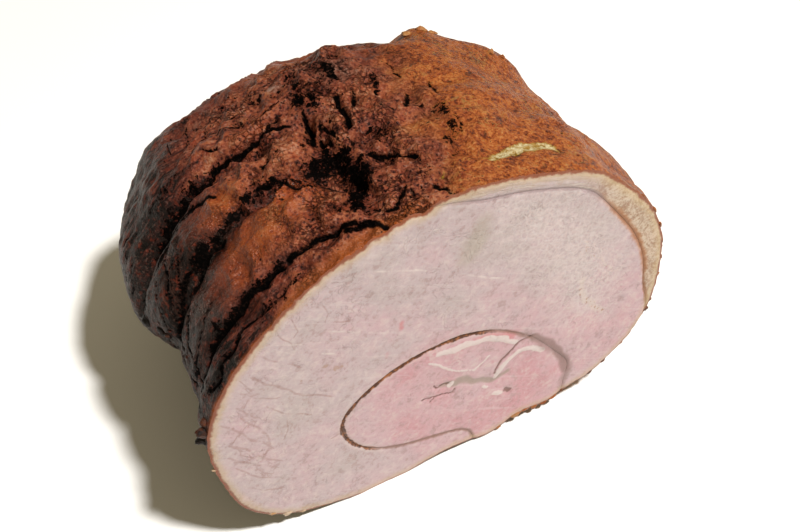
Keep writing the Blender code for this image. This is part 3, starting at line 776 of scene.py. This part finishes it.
def flap_seam():
    """The line on the cut face where the flap lies on the wrap."""
    angle = np.linspace(FLAP_FOOT, FLAP_EDGE + FLAP_EDGE_SWING, 90)
    along = np.zeros(len(angle))
    base = body(angle, along)
    low = relief(angle, along, base) - np.maximum(flap_thickness(angle, along), 0.0)
    return (base + outward(angle, along) * low[:, None])[:, (0, 2)]


def face_look(points, rim_line):
    """Relief of the cut face and the fields that its finish is made from."""
    x, z = points[:, 0] - SHIFT_X, points[:, 2]
    flat = np.stack([x, 0.0 * x, z], axis=-1)
    wavy_x, wavy_z = x + 0.9 * MM * noise(flat, 0.005, 61), z + 0.9 * MM * noise(flat, 0.005, 62)
    vein_x, vein_z = x + 0.5 * MM * noise(flat, 0.0040, 64), z + 0.5 * MM * noise(flat, 0.0040, 65)
    core_outline = smooth_chain(on_face(CORE_SEAM), FACE_SEAM_STEPS).tolist()
    edges = (rim_line, core_outline, flap_seam().tolist())
    rim, seam, fold = [line_distance(x, z, line) for line in edges]
    core = inside_outline(x, z, core_outline)
    edge = line_distance(x, z, on_face(GRANULAR + GRANULAR[:1]))
    inside = inside_outline(x, z, on_face(GRANULAR))
    granular = np.where(inside, 0.5 + 0.5 * rise(edge, 0.0, 0.010), 0.5 - 0.5 * rise(edge, 0.0, 0.006))
    angle = np.mod(np.degrees(np.arctan2(z - CENTRE_Z, x)), 360.0)
    pink = 0.30 + 0.22 * noise(flat, 0.022, 63) + 0.35 * rise(x, -0.055, 0.06) * fall(z, 0.088, 0.05)
    # the seam is brown and deep over the core's upper left, thin below it and vague on its right-hand lobe
    seam_left = fall(x, 0.022, 0.012) * rise(z, 0.0265, 0.006)
    seam_left = np.maximum(seam_left, smooth((-0.020 - x) / 0.008))
    vein_far, vein_side = side_of_lines(vein_x, vein_z, VEINS)
    fields = {name: line_share(wavy_x, wavy_z, lines, on_face, 1.6) for name, lines in FACE_LINES.items()}
    fields.update({
        "rim": rim / MM, "seam": seam / MM, "fold": fold / MM, "vein_far": vein_far, "vein_side": vein_side,
        "granular": granular, "pink": pink + 0.22 * core - 0.17 * granular,
        "veins": rise(angle, 118.0, 25.0) * fall(angle, 252.0, 22.0) * fall(rim, 0.024, 0.012),
        "seam_left": seam_left, "seam_right": rise(x, 0.024, 0.010),
        "turn": angle * GIRTH, "face_x": x, "face_z": z,
    })
    height = 0.28 * noise(flat, 0.013, 71) + 0.07 * noise(flat, 0.0028, 72) + 0.05 * noise(flat, 0.0015, 74)
    height += 0.09 * granular * np.abs(noise(flat, 0.0017, 73))
    height -= 0.55 * (0.4 + 0.6 * seam_left) * np.exp(-(seam / (0.55 * MM)) ** 2)
    height -= 0.30 * np.exp(-(fold / (0.5 * MM)) ** 2) + 0.45 * np.exp(-(rim / (0.9 * MM)) ** 2)
    height += 0.25 * fields["fatty"] - 0.45 * fields["brown"] - 0.25 * fields["grey"]
    return MM * height, fields


def store(data, name, values):
    """Keep one number for each vertex under a name that a material can read."""
    layer = data.attributes.new(name, "FLOAT", "POINT")
    layer.data.foreach_set("value", np.asarray(values, dtype=np.float32))


def crust_at_edges(data, on_cut, reach):
    """Where a seam comes out through the crust, its walls are browned as the crust is."""
    for face in data.polygons:
        corners = list(face.vertices)
        if face.material_index and not on_cut[corners].all() and reach[corners].max() < WALL_DEPTH:
            face.material_index = 0


def dress(name, data, skin_points, skin_fields):
    """Give a carved piece its face relief and its fields, and put it in the scene."""
    points = np.zeros(len(data.vertices) * 3, dtype=np.float32)
    data.vertices.foreach_get("co", points)
    points = points.reshape(-1, 3).astype(float)
    tree = kdtree.KDTree(len(skin_points))
    for i, point in enumerate(skin_points):
        tree.insert(point, i)
    tree.balance()
    found = [tree.find(point)[1:] for point in points]
    nearest = np.array([place for place, distance in found])
    reach = np.array([distance for place, distance in found])
    on_cut = points[:, 1] < CUT_Y + 0.02 * MM
    rim_line = [(p[0] - SHIFT_X, p[2]) for p in skin_points[:FINE_ROUND]]
    height, face_fields = face_look(points, rim_line + rim_line[:1])
    points[on_cut, 1] -= height[on_cut]
    data.vertices.foreach_set("co", points.astype(np.float32).ravel())
    for field, values in skin_fields.items():
        store(data, field, values[nearest])
    for field, values in face_fields.items():
        store(data, field, values)
    crust_at_edges(data, on_cut, reach)
    data.shade_smooth()
    data.set_sharp_from_angle(angle=np.radians(SHARP_EDGE))
    data.update()
    return added(name, data)


# ---------------------------------------------------------------- finishes
UNDER_KEY = 0.62               # how much of what it shows is a surface's own colour: the key light is bright
FULL = 1.0                     # the same for the tabletop, which is nearly white


def colour(red, green, blue, share=UNDER_KEY):
    """Colour of 0 to 255 that a surface shows under the key light, as the linear colour its shader takes."""
    part = np.array([red, green, blue]) / 255.0
    linear = np.where(part <= 0.04045, part / 12.92, ((part + 0.055) / 1.055) ** 2.4) * share
    return (*[float(value) for value in linear], 1.0)


class Finish:
    """A material in the making. Its methods add nodes and give back an output; a name stands for a field."""

    def __init__(self, name):
        self.material = bpy.data.materials.new(name)
        self.material.use_nodes = True
        self.tree = self.material.node_tree
        self.shader = self.tree.nodes["Principled BSDF"]
        self.place = self.tree.nodes.new("ShaderNodeTexCoord").outputs["Object"]
        self.grains = {}

    def put(self, socket, value):
        """Link a field or an output into a socket, or set a plain value on it."""
        if isinstance(value, str):
            value = self.add("Attribute", {}, "Fac", attribute_name=value)
        if isinstance(value, bpy.types.NodeSocket):
            self.tree.links.new(value, socket)
        else:
            socket.default_value = value

    def add(self, kind, sockets, output=0, **settings):
        node = self.tree.nodes.new("ShaderNode" + kind)
        for name, value in settings.items():
            setattr(node, name, value)
        for socket, value in sockets.items():
            self.put(node.inputs[socket], value)
        return node.outputs[output]

    def math(self, operation, *values):
        """The values taken together by one operation, from the first to the last."""
        total = values[0]
        for value in values[1:]:
            total = self.add("Math", {0: total, 1: value}, operation=operation)
        return total

    def plus(self, *values):
        return self.math("ADD", *values)

    def minus(self, *values):
        return self.math("SUBTRACT", *values)

    def times(self, *values):
        return self.math("MULTIPLY", *values)

    def most(self, *values):
        return self.math("MAXIMUM", *values)

    def less(self, value, share=1.0):
        """1 less a share of the value."""
        return self.minus(1.0, self.times(value, share))

    def absolute(self, value):
        return self.add("Math", {0: value}, operation="ABSOLUTE")

    def centred(self, value, amount):
        """A noise of 0 to 1, made to swing about 0 by the amount."""
        return self.times(self.minus(value, 0.5), amount)

    def vector(self, x, y, z):
        return self.add("CombineXYZ", {0: x, 1: y, 2: z})

    def moved(self, way, place=None):
        return self.add("VectorMath", {0: place or self.place, 1: way})

    def noise(self, size, detail=3.0, roughness=0.6, place=None, shift=0.0, distortion=0.0):
        """Noise of 0 to 1 with features of about the given size in millimetres."""
        return self.add("TexNoise", {
            "Vector": self.moved((shift, shift * 0.7, shift * 1.3), place), "Scale": 0.6 / (size * MM),
            "Detail": detail, "Roughness": roughness, "Distortion": distortion,
        }, "Fac")

    def cells(self, size, shift=0.0):
        """Distance to the nearest of scattered points, in shares of the given size."""
        sockets = {"Vector": self.moved((shift,) * 3), "Scale": 1.0 / (size * MM)}
        return self.add("TexVoronoi", sockets, "Distance")

    def crackle(self, size, bend):
        """Distance to the borders between cells of about the given size, bent out of line by a noise."""
        way = self.vector(self.centred(bend, size * MM), self.centred(bend, -size * MM), 0.0)
        sockets = {"Vector": self.moved(way), "Scale": 1.0 / (size * MM)}
        return self.add("TexVoronoi", sockets, "Distance", feature="DISTANCE_TO_EDGE")

    def step(self, value, low, high):
        """0 below low, 1 above high and smooth between; high may be the lower of the two."""
        start, end, first = (high, low, 1.0) if high < low else (low, high, 0.0)
        sockets = {"Value": value, "From Min": start, "From Max": end, "To Min": first, "To Max": 1.0 - first}
        return self.add("MapRange", sockets, "Result", interpolation_type="SMOOTHSTEP")

    def ragged(self, value, low, high, **swings):
        """A step whose edge is made ragged by some of the finish's own grains."""
        for name, amount in swings.items():
            value = self.plus(value, self.centred(self.grains[name], amount))
        return self.step(value, low, high)

    def threads(self, wide, thin, *noise, **more):
        """Thin lines, along which a noise passes its middle."""
        return self.step(self.absolute(self.minus(self.noise(*noise, **more), 0.5)), wide, thin)

    def mix(self, share, *tones):
        """Two tones mixed; a tone is an output or its red, green and blue."""
        first, second = [colour(*tone) if isinstance(tone, tuple) else tone for tone in tones]
        return self.add("Mix", {0: share, 6: first, 7: second}, 2, data_type="RGBA", clamp_factor=True)

    def paint(self, tone, *shares):
        """Lay a tone over the colour so far, as much as the product of the shares."""
        self.shade = self.mix(self.times(*shares), self.shade, tone)

    def ramp(self, value, stops):
        """Colour along a value: each stop is its place and its red, green and blue."""
        shade = self.add("ValToRGB", {"Fac": value}, "Color")
        stretch = shade.node.color_ramp.elements
        for number, (place, *shown) in enumerate(stops):
            stop = stretch[number] if number < 2 else stretch.new(place)
            stop.position, stop.color = place, colour(*shown)
        return shade

    def bump(self, height, distance, strength=1.0):
        sockets = {"Height": height, "Distance": distance * MM, "Strength": strength}
        self.put(self.shader.inputs["Normal"], self.add("Bump", sockets, "Normal"))

    def finished(self, **surface):
        """The material, with its colour and what else its surface is."""
        self.put(self.shader.inputs["Base Color"], self.shade)
        for name, value in surface.items():
            self.put(self.shader.inputs[name.replace("_", " ")], value)
        return self.material


# Tones of the crust from burnt to pale: a place of 0 to 1, and the red, green and blue there
CRUST_TONES = (
    (0.00, 7, 5, 5), (0.16, 28, 16, 15), (0.30, 68, 35, 30), (0.45, 116, 59, 47), (0.60, 152, 81, 58),
    (0.76, 176, 100, 66), (1.00, 208, 146, 112),
)
GLOSSY_TONES = (
    (0.00, 10, 7, 7), (0.16, 32, 16, 14), (0.30, 72, 33, 25), (0.45, 114, 53, 36), (0.60, 150, 70, 36),
    (0.76, 172, 86, 40), (1.00, 198, 124, 76),
)
DULL_TONES = ((0.00, 16, 12, 12), (0.35, 68, 46, 36), (0.60, 116, 82, 68), (1.00, 184, 154, 142))
FLAP_TONES = (
    (0.00, 40, 19, 13), (0.18, 104, 48, 25), (0.36, 160, 78, 36), (0.54, 191, 103, 46), (0.74, 211, 130, 64),
    (1.00, 226, 172, 112),
)
# Tones of the cut meat from grey to pink, and of the torn bits from fat to charred
MEAT_TONES = (
    (0.00, 204, 187, 184), (0.30, 211, 189, 191), (0.60, 218, 184, 189), (0.85, 221, 175, 181),
    (1.00, 218, 160, 167),
)
SHRED_TONES = (
    (0.00, 232, 208, 180), (0.16, 206, 150, 88), (0.36, 176, 98, 44), (0.62, 112, 58, 32), (0.86, 30, 17, 14),
)


def crust_finish(name):
    """Roasted crust: red-brown, tan where it bulges, black where it is burnt, and painted shade that darkens
    its grooves, hollows and folds.
    """
    f = Finish(name)
    coarse, fine = f.noise(3.0, 6.0, 0.66), f.noise(1.4, 5.0, 0.72, shift=3.1)
    speck = f.noise(0.55, 3.0, 0.68, shift=5.7)
    f.grains = {"coarse": coarse, "fine": fine, "speck": speck}
    fibres = f.vector(f.times("girth", 0.14), f.plus("strand", f.centred(coarse, 0.0022)), 0.0)
    streak = f.plus(f.times(f.noise(0.7, 4.0, 0.7, place=fibres), 0.6),
                    f.times(f.noise(2.4, 3.0, 0.6, place=fibres, shift=6.6), 0.4))
    grit = f.ragged(f.cells(1.15), 0.16, 0.60, speck=0.6)
    calm = f.times(f.less("wet", 0.62), f.less("fibrous", 0.45))
    swing = f.times(f.plus(f.centred(coarse, 0.80), f.centred(fine, 1.05), f.centred(speck, 0.75)), calm)
    swing = f.plus(swing, f.times(f.centred(streak, 3.8), "fibrous", calm))
    tone = f.plus("tone", swing, f.times(f.centred(grit, 0.34), "char"))
    tone = f.plus(tone, f.times(f.plus(f.centred(fine, 0.45), f.centred(speck, 0.70)), "tan"))
    f.shade = f.mix("wet", f.ramp(tone, CRUST_TONES), f.ramp(tone, GLOSSY_TONES))
    f.paint(f.ramp(tone, FLAP_TONES), "tan")
    # greyish-pink flecks as painted glints, embers and dull places on the burnt parts
    glint_fleck_share = f.times(f.most("char", f.times("fibrous", 0.5)), f.less("wet", 0.85))
    f.paint((174, 134, 122), f.ragged(speck, 0.55, 0.78, fine=0.9), glint_fleck_share, 0.72)
    ember = f.times(f.step(f.noise(1.5, 4.0, 0.7, shift=18.3), 0.50, 0.62),
                    f.step(f.noise(8.0, 2.0, 0.5, shift=19.6), 0.40, 0.62))
    f.paint((164, 74, 40), ember, "char", 0.55)
    dull = f.ragged("dull", 0.30, 0.90, coarse=0.9, fine=0.9)
    f.paint(f.ramp(tone, DULL_TONES), dull, 0.60)
    # redder grains everywhere, and dark ones and thin greenish-yellow threads of fat in the tan crust
    f.paint((146, 56, 32), f.step(f.noise(1.2, 4.0, 0.7, shift=12.4), 0.52, 0.64), 0.42)
    f.paint((96, 38, 20), f.ragged(speck, 0.42, 0.28, coarse=0.4, fine=0.7), "tan", 0.62)
    thread = f.threads(0.030, 0.004, 2.6, 3.0, 0.55, shift=9.3, distortion=1.2)
    f.paint((196, 152, 84), thread, "tan", f.step(f.noise(7.0, 2.0, 0.5, shift=2.2), 0.46, 0.62), 0.5)
    # the glazed strip along the cut, and its browned edge
    f.paint(f.mix(coarse, (136, 62, 26), (190, 106, 50)), "strip", 0.65)
    f.paint(f.mix(fine, (150, 58, 14), (192, 100, 34)), "edge", 0.85)
    # soot of the burnt stretches and painted shade of the grooves, hollows and folds, ragged at its edges,
    # and the thin branching cracks of the burnt crust
    branches = f.threads(0.024, 0.006, 3.6, 4.0, 0.62, shift=14.2, distortion=0.6)
    grains = f.ragged(f.crackle(1.7, coarse), 0.14, 0.03, fine=0.30)
    where = f.step(f.noise(6.0, 3.0, 0.6, shift=4.4), 0.43, 0.57)
    cracked = f.times(f.most(f.times(grains, 0.75), branches), "char", where, 0.9)
    fissure = f.ragged("crack", 1.15, 0.55, fine=1.8, coarse=1.2)
    soot = f.most(f.ragged("soot", 0.50, 0.66, coarse=1.6, fine=2.3, speck=1.7), cracked, fissure)
    f.paint(f.mix(f.step(speck, 0.54, 0.78), (3, 2, 2), (44, 25, 20)), soot)
    # fat in the cracks of the flap, yellow with a paler middle
    pale = f.times(f.step(fine, 0.40, 0.56), f.step("fat", 0.55, 0.95))
    f.paint(f.mix(pale, (176, 134, 52), (240, 224, 176)), f.ragged("fat", 0.42, 0.72, fine=1.2, speck=0.7))
    grit = f.plus(f.centred(fine, 0.4), f.centred(speck, 0.5))
    rough = f.plus(0.42, f.times("wet", -0.16), grit, f.times(soot, 0.25))
    gloss = f.plus(0.14, f.times("wet", 0.22), f.times(f.step(speck, 0.50, 0.68), 0.30), f.times("tan", 0.10))
    gloss = f.times(gloss, f.less(f.most(f.times(soot, 0.88), f.times(dull, 0.55))))
    height = f.plus(f.times(coarse, 0.50, calm), f.times(fine, 0.65, calm), f.times(soot, -0.25))
    height = f.plus(height, f.times(speck, f.plus(0.42, f.times("tan", 0.20))))
    f.bump(f.plus(height, f.times(streak, 0.85, "fibrous")), 1.3)
    return f.finished(Roughness=rough, Specular_IOR_Level=gloss, Specular_Tint=(1.0, 0.80, 0.66, 1.0))


def stroke(f, points, half_width, broken):
    """How much of each place a straight scratch of the knife covers."""
    (x0, z0), (x1, z1) = on_face(points)
    length = float(np.hypot(x1 - x0, z1 - z0))
    way_x, way_z = (x1 - x0) / length, (z1 - z0) / length
    x, z = f.minus("face_x", x0), f.minus("face_z", z0)
    ahead = f.plus(f.times(x, way_x / length), f.times(z, way_z / length))
    aside = f.absolute(f.minus(f.times(x, way_z), f.times(z, way_x)))
    ends = f.times(f.step(ahead, 0.0, 0.12), f.step(ahead, 1.0, 0.88))
    return f.times(f.step(aside, half_width * 1.7, half_width * 0.3), ends, broken)


def meat_finish(name, flap=False):
    """Cut veal: pale grey-pink, with a yellow-brown rim, veins, knife marks, fat and brown seams."""
    f = Finish(name)
    mottle, fine = f.noise(2.6, 4.0, 0.62, shift=1.7), f.noise(0.9, 3.0, 0.62, shift=4.2)
    f.grains = {"mottle": mottle, "fine": fine}
    pink = f.plus("pink", f.centred(f.noise(9.0, 3.0, 0.55), 0.95), f.centred(mottle, 0.60))
    f.shade = f.ramp(pink, MEAT_TONES)
    # fibres seen end on: small pale and dark flecks, and fine creases that cross them
    f.paint((234, 217, 211), f.ragged(mottle, 0.50, 0.78, fine=0.9), 0.52)
    f.paint((176, 138, 134), f.ragged(mottle, 0.46, 0.24, fine=1.1), f.less("granular", 0.7), 0.48)
    crease = f.threads(0.022, 0.004, 2.2, 3.0, 0.55, shift=16.5, distortion=0.8)
    crease = f.times(crease, f.step(f.noise(6.0, 2.0, 0.5, shift=3.9), 0.44, 0.62))
    f.paint((164, 130, 122), crease, 0.30)
    # coarse grain with whitish flecks on the upper right, and a fine pale web between the fibre bundles
    grain = f.ragged(f.cells(1.15), 0.02, 0.86, fine=0.9)
    f.paint((236, 218, 214), grain, "granular", 0.48)
    f.paint((190, 152, 140), f.ragged(f.cells(1.3, 0.3), 0.24, 0.06, mottle=0.9), "granular", 0.10)
    web = f.ragged(f.crackle(2.4, mottle), 0.11, 0.02, fine=0.10)
    f.paint((240, 228, 224), web, f.plus(0.09, f.times("granular", 0.26)))
    # thin brownish veins that run in from the rim on the left, their branches, and the drag of the knife
    across = f.plus(f.times("face_z", 0.88), f.times("face_x", 0.48))
    inward = f.plus(f.times("face_x", 0.88), f.times("face_z", -0.48))
    lane = f.vector(across, f.times(inward, 0.25), 0.0)
    branch = f.threads(0.014, 0.004, 2.8, 2.0, 0.5, place=lane, shift=21.0, distortion=0.5)
    f.paint((164, 122, 112), branch, f.step(f.noise(4.5, 2.0, 0.5, shift=17.7), 0.50, 0.62), "veins", 0.12)
    vein = f.times(f.ragged(f.absolute("vein_side"), 0.62, 0.10, fine=0.30), f.step("vein_far", 1.3, 0.7))
    f.paint((156, 108, 94), vein, f.step(f.noise(3.0, 2.0, 0.5, shift=7.7), 0.34, 0.50), 0.36)
    drag = f.noise(1.0, 3.0, 0.6, place=f.vector(across, f.times(inward, 0.06), 0.0), shift=2.9)
    f.paint((236, 220, 218), f.step(drag, 0.56, 0.72), 0.30)
    if flap:
        # layers along the rim, and yellow crumbs on the right
        layer = f.noise(0.8, 4.0, 0.6, place=f.vector(f.times("turn", 0.08), f.times("rim", MM), 0.0))
        f.paint((190, 168, 160), f.step(layer, 0.42, 0.60))
        f.paint((232, 216, 208), f.step(layer, 0.54, 0.66), 0.8)
        crumb = f.ragged(f.noise(0.5, 4.0, 0.75, shift=10.2), 0.34, 0.62, mottle=0.5)
        f.paint(f.mix(crumb, (168, 124, 84), (230, 208, 182)), f.step("face_x", 0.036, 0.056), 0.88)
    # scratches of the knife
    broken = f.step(f.noise(4.0, 3.0, 0.6, shift=8.8), 0.42, 0.60)
    for points in KNIFE_MARKS:
        f.paint((240, 226, 220), stroke(f, points, 0.28 * MM, broken), 0.70)
    # a greenish tinge, brown spots, blood, pale veins with brown specks, grey tissue, fat and brown clefts
    f.paint((178, 168, 138), f.ragged("greenish", 0.2, 1.0, mottle=0.8), 0.35)
    f.paint((176, 130, 92), f.ragged("spots", 0.62, 0.92, fine=2.2), 0.50)
    f.paint((216, 122, 126), f.ragged("red", 0.15, 0.90, mottle=0.7), 0.8)
    f.paint((234, 216, 204), f.ragged("pale", 0.40, 0.95, fine=1.1), 0.55)
    f.paint((176, 122, 80), f.step(f.noise(0.9, 2.0, 0.5, shift=6.1), 0.60, 0.68), "pale", 0.8)
    grey = f.mix("seam_right", (172, 154, 140), (160, 124, 120))
    f.paint(grey, f.ragged("grey", 0.35, 0.95, mottle=0.9), 0.85)
    f.paint((236, 218, 214), f.ragged("fatty", 0.36, 0.66, fine=0.5))
    f.paint((128, 88, 76), f.ragged("brown", 0.36, 0.85, fine=0.9), 0.85)
    # the core's seam
    f.paint((224, 204, 196), f.ragged("seam", 2.4, 0.8, mottle=2.0), "seam_left", 0.35)
    crumbs = f.mix(f.step(fine, 0.44, 0.60), (92, 54, 36), (166, 104, 62))
    f.paint(crumbs, f.ragged("seam", 0.90, 0.50, fine=0.9, mottle=1.8), "seam_left")
    f.paint((158, 126, 120), f.ragged("seam", 2.6, 0.2, mottle=3.4), "seam_right", 0.70)
    below = f.less(f.most("seam_left", "seam_right"))
    f.paint((146, 106, 86), f.ragged("seam", 1.15, 0.18, fine=0.7, mottle=0.8), below, 0.80)
    # the flap's seam, stained orange-brown where it bends down on the right
    right = f.step("face_x", 0.044, 0.056)
    stain = f.ragged("fold", 1.9, 0.5, mottle=2.4, fine=0.8)
    f.paint((196, 126, 66), stain, right, f.step("face_z", 0.044, 0.058), 0.75)
    f.paint(f.mix(right, (176, 152, 152), (168, 108, 64)), f.ragged("fold", 1.0, 0.25, mottle=1.8), 0.80)
    # rim: cream inside, orange-brown at the very edge
    f.paint((218, 188, 140), f.ragged("rim", 4.2, 0.8, mottle=3.6), 0.58)
    f.paint((144, 62, 12), f.ragged("rim", 1.30, 0.50, fine=1.3, mottle=1.2), 0.9)
    grain_height = f.times(grain, "granular", 0.16)
    f.bump(f.plus(f.times(mottle, 0.45), f.times(fine, 0.35), grain_height, f.times(crease, -0.2)), 0.45, 0.9)
    return f.finished(
        Roughness=f.plus(0.46, f.centred(mottle, 0.25), f.centred(fine, 0.3)), Specular_IOR_Level=0.35,
        Subsurface_Weight=0.10, Subsurface_Radius=(1.0, 0.45, 0.35), Subsurface_Scale=0.0020,
    )


def shred_finish():
    """Torn bits: cream fat, orange-brown skin or charred meat, as each is marked."""
    f = Finish("shreds")
    fine = f.noise(0.8, 4.0, 0.7)
    f.shade = f.ramp(f.plus("kind", f.centred(fine, 0.8)), SHRED_TONES)
    f.bump(fine, 0.8, 0.8)
    return f.finished(Roughness=0.45, Specular_IOR_Level=0.25)


def floor_finish():
    """Pale matt tabletop with the faintest unevenness."""
    f = Finish("tabletop")
    f.shade = f.mix(f.noise(120.0, 2.0, 0.5), (243, 242, 238, FULL), (248, 247, 244, FULL))
    return f.finished(Roughness=0.7, Specular_IOR_Level=0.2)


# ---------------------------------------------------------------- torn bits at the crust's edges
# Place on the crust, how far it stands out, how long it is round the roll and along it, kind of stuff
SHREDS = (
    (-67.8, 1, 1.1, 3, 1.6, 0.3), (-61.2, 1, 2, 4.6, 2, 0.25), (-57.5, 1.2, 1.2, 3.8, 2, 0.36),
    (-54.6, 0.8, 1.1, 2.6, 1.6, 0.35), (-51.5, 1, 0.8, 3, 1.6, 0.45), (-48.4, 0.9, 1, 3.2, 1.6, 0.35),
    (-36.7, 1.2, 1.5, 2.4, 1.8, 0.7), (-32.2, 1.3, 1.6, 2.8, 2, 0.65), (-26, 1, 0.8, 2, 1.4, 0.45),
    (-15.7, 1.6, 2.1, 2.2, 1.8, 0.7), (-12.5, 1.2, 1.1, 1.6, 1.4, 0.6), (-4, 1, 0.7, 1.8, 1.2, 0.35),
    (57, 84.5, 0.9, 3.2, 3.2, 0.2), (53.5, 83, 1, 3.8, 3.6, 0.3), (50, 82.5, 0.7, 3.4, 3, 0.25),
    (40.5, 68, 0.9, 2, 2.2, 0.25), (37, 67, 0.6, 1.8, 2, 0.4), (72, 83, 0.7, 2.4, 2.2, 0.7),
    (174, 2.6, 2.5, 3.8, 3.4, 0.8), (177, 3.4, 2.1, 3.6, 3.4, 0.92), (171.5, 3.2, 1.2, 2.8, 2.6, 0.7),
    (186, 1, 0.9, 1.2, 1, 0), (214, 0.8, 1, 3.2, 1.6, 0.08), (218.5, 0.8, 1.4, 4, 1.6, 0),
    (222.5, 0.8, 1, 3.2, 1.6, 0.05), (228, 1, 0.6, 2.6, 1.4, 0.15), (175.5, 50, 1.3, 3, 4.6, 0.92),
    (174, 43, 1.3, 3, 4.6, 0.9), (169.5, 35, 0.9, 2.4, 2.6, 0.85), (2, 0.9, 0.4, 2.4, 1.2, 0.45),
    (8, 0.9, 0.4, 3, 1.2, 0.5), (13.5, 0.9, 0.5, 2.6, 1.2, 0.45), (20, 0.9, 0.4, 2.8, 1.2, 0.35),
    (27, 0.9, 0.4, 3, 1.2, 0.5),
)
SHRED_ROUND, SHRED_ROWS, SHRED_SEED = 14, 9, 200


def shred(angle, along, out, girth, length, seed):
    """Points of one ragged lump that is rooted in the crust and stands out from it."""
    turn = np.arange(SHRED_ROUND) * 2.0 * np.pi / SHRED_ROUND
    pole = np.linspace(-0.5 * np.pi, 0.5 * np.pi, SHRED_ROWS)
    pole, turn = np.meshgrid(pole, turn, indexing="ij")
    ball = np.stack([np.sin(pole), np.cos(pole) * np.cos(turn), np.cos(pole) * np.sin(turn)], axis=-1)
    ball *= (1.0 + 0.34 * noise(ball, 0.7, seed) + 0.18 * noise(ball, 0.3, seed + 1))[..., None]
    ball[..., 1:] *= 1.0 - 0.35 * ball[..., :1]
    place = np.array([angle]), np.array([along * MM])
    base = body(*place)
    way = outward(*place)[0]
    root = base[0] + way * relief(*place, base)[0]
    round_way = np.cross(way, (0.0, 1.0, 0.0))
    round_way /= np.linalg.norm(round_way)
    long_way = np.cross(way, round_way)
    stand = out * (ball[..., :1] + 0.1) * way
    spread = 0.5 * (girth * ball[..., 1:2] * round_way + length * ball[..., 2:] * long_way)
    return root + MM * (stand + spread)


def build_shreds():
    """All the torn bits as one piece."""
    blocks, faces, kinds = [], [], []
    for number, (angle, along, out, girth, length, kind) in enumerate(SHREDS):
        start = number * SHRED_ROUND * SHRED_ROWS
        blocks.append(shred(angle, along, out, girth, length, SHRED_SEED + number).reshape(-1, 3))
        faces += [[start + i for i in face] for face in quads_between(SHRED_ROWS, SHRED_ROUND)]
        kinds += [kind] * (SHRED_ROUND * SHRED_ROWS)
    points = np.vstack(blocks)
    points[:, 2] = np.maximum(points[:, 2], 0.1 * MM)
    data = piece_mesh("crust_shreds", placed(points), faces, [0] * len(faces), [shred_finish()])
    face_outward(data)
    store(data, "kind", kinds)
    data.shade_smooth()
    piece = added("crust_shreds", data)
    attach(piece, "root")


# ---------------------------------------------------------------- the scene
KEY_TURN, KEY_RISE, KEY_AWAY = -66.0, 64.3, 1.6        # the key light: degrees round and up, and metres away
KEY_SIZE, KEY_POWER, KEY_TONE = 0.16, 34.0, (1.0, 0.985, 0.975)
ROOM_TONE, ROOM_STRENGTH = (1.0, 0.86, 0.58, 1.0), 0.275
FLOOR_REACH = 6.0
CAMERA_PLACE, CAMERA_TILT, CAMERA_TURN = (-0.1285, -0.2605, 0.3312), 44.0, -28.8
SENSOR, LENS = 36.0, 57.09


def build_pieces():
    """The wrap, the core and the flap, carved from one detailed roll."""
    finishes = {}
    for node in ("wrap", "core", "flap"):
        finishes[node] = [crust_finish(node + "_crust"), meat_finish(node + "_meat", flap=node == "flap")]
    shared = finishes["wrap"]
    roll, skin_points, skin_fields = fine_roll(shared)
    face_outward(roll)
    around_core, around_flap = core_space(FINE_GAP, shared), flap_space(FINE_GAP, shared)
    cuts = {
        "wrap": ("roast_outer", (("DIFFERENCE", around_core), ("DIFFERENCE", around_flap))),
        "core": ("roast_inner", (("INTERSECT", core_space(0.0, shared)),)),
        "flap": ("roast_overlap", (("INTERSECT", flap_space(0.0, shared)),)),
    }
    for node, (slot, steps) in cuts.items():
        data = carved(node + "_roast", roll.copy(), steps)
        without_scraps(data)
        for place, finish in enumerate(finishes[node]):
            data.materials[place] = finish
        piece = dress(node + "_roast", data, skin_points, skin_fields)
        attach(piece, "root")
        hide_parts(node)


def build_floor():
    """The tabletop, level with the underside of the roast."""
    far, low = FLOOR_REACH, CAD_BOX[0][2]
    data = bpy.data.meshes.new("floor")
    corners = [(-far, -far, low), (far, -far, low), (far, far, low), (-far, far, low)]
    data.from_pydata(corners, [], [(0, 1, 2, 3)])
    data.materials.append(floor_finish())
    added("floor", data)


def build_light():
    """A soft key light from high in front and a little to the right, and a plain pale room."""
    turn, lift = np.radians(KEY_TURN), np.radians(KEY_RISE)
    way = Vector((np.cos(turn) * np.cos(lift), np.sin(turn) * np.cos(lift), np.sin(lift)))
    data = bpy.data.lights.new("key", "AREA")
    data.shape = "DISK"
    data.size = KEY_SIZE
    data.energy = KEY_POWER
    data.color = KEY_TONE
    key = added("key", data)
    key.location = way * KEY_AWAY
    key.rotation_euler = way.to_track_quat("Z", "Y").to_euler()
    world = bpy.data.worlds.new("room")
    world.use_nodes = True
    background = world.node_tree.nodes["Background"]
    background.inputs["Color"].default_value = ROOM_TONE
    background.inputs["Strength"].default_value = ROOM_STRENGTH
    bpy.context.scene.world = world


def build_camera():
    """A camera high in front and on the left, that looks down on the cut face."""
    data = bpy.data.cameras.new("camera")
    data.sensor_width = SENSOR
    data.lens = LENS
    data.clip_start = 0.01
    camera = added("camera", data)
    camera.location = CAMERA_PLACE
    camera.rotation_euler = (np.radians(CAMERA_TILT), 0.0, np.radians(CAMERA_TURN))
    bpy.context.scene.camera = camera


build_pieces()
build_shreds()
build_floor()
build_light()
build_camera()
bpy.context.scene.view_settings.view_transform = "Standard"
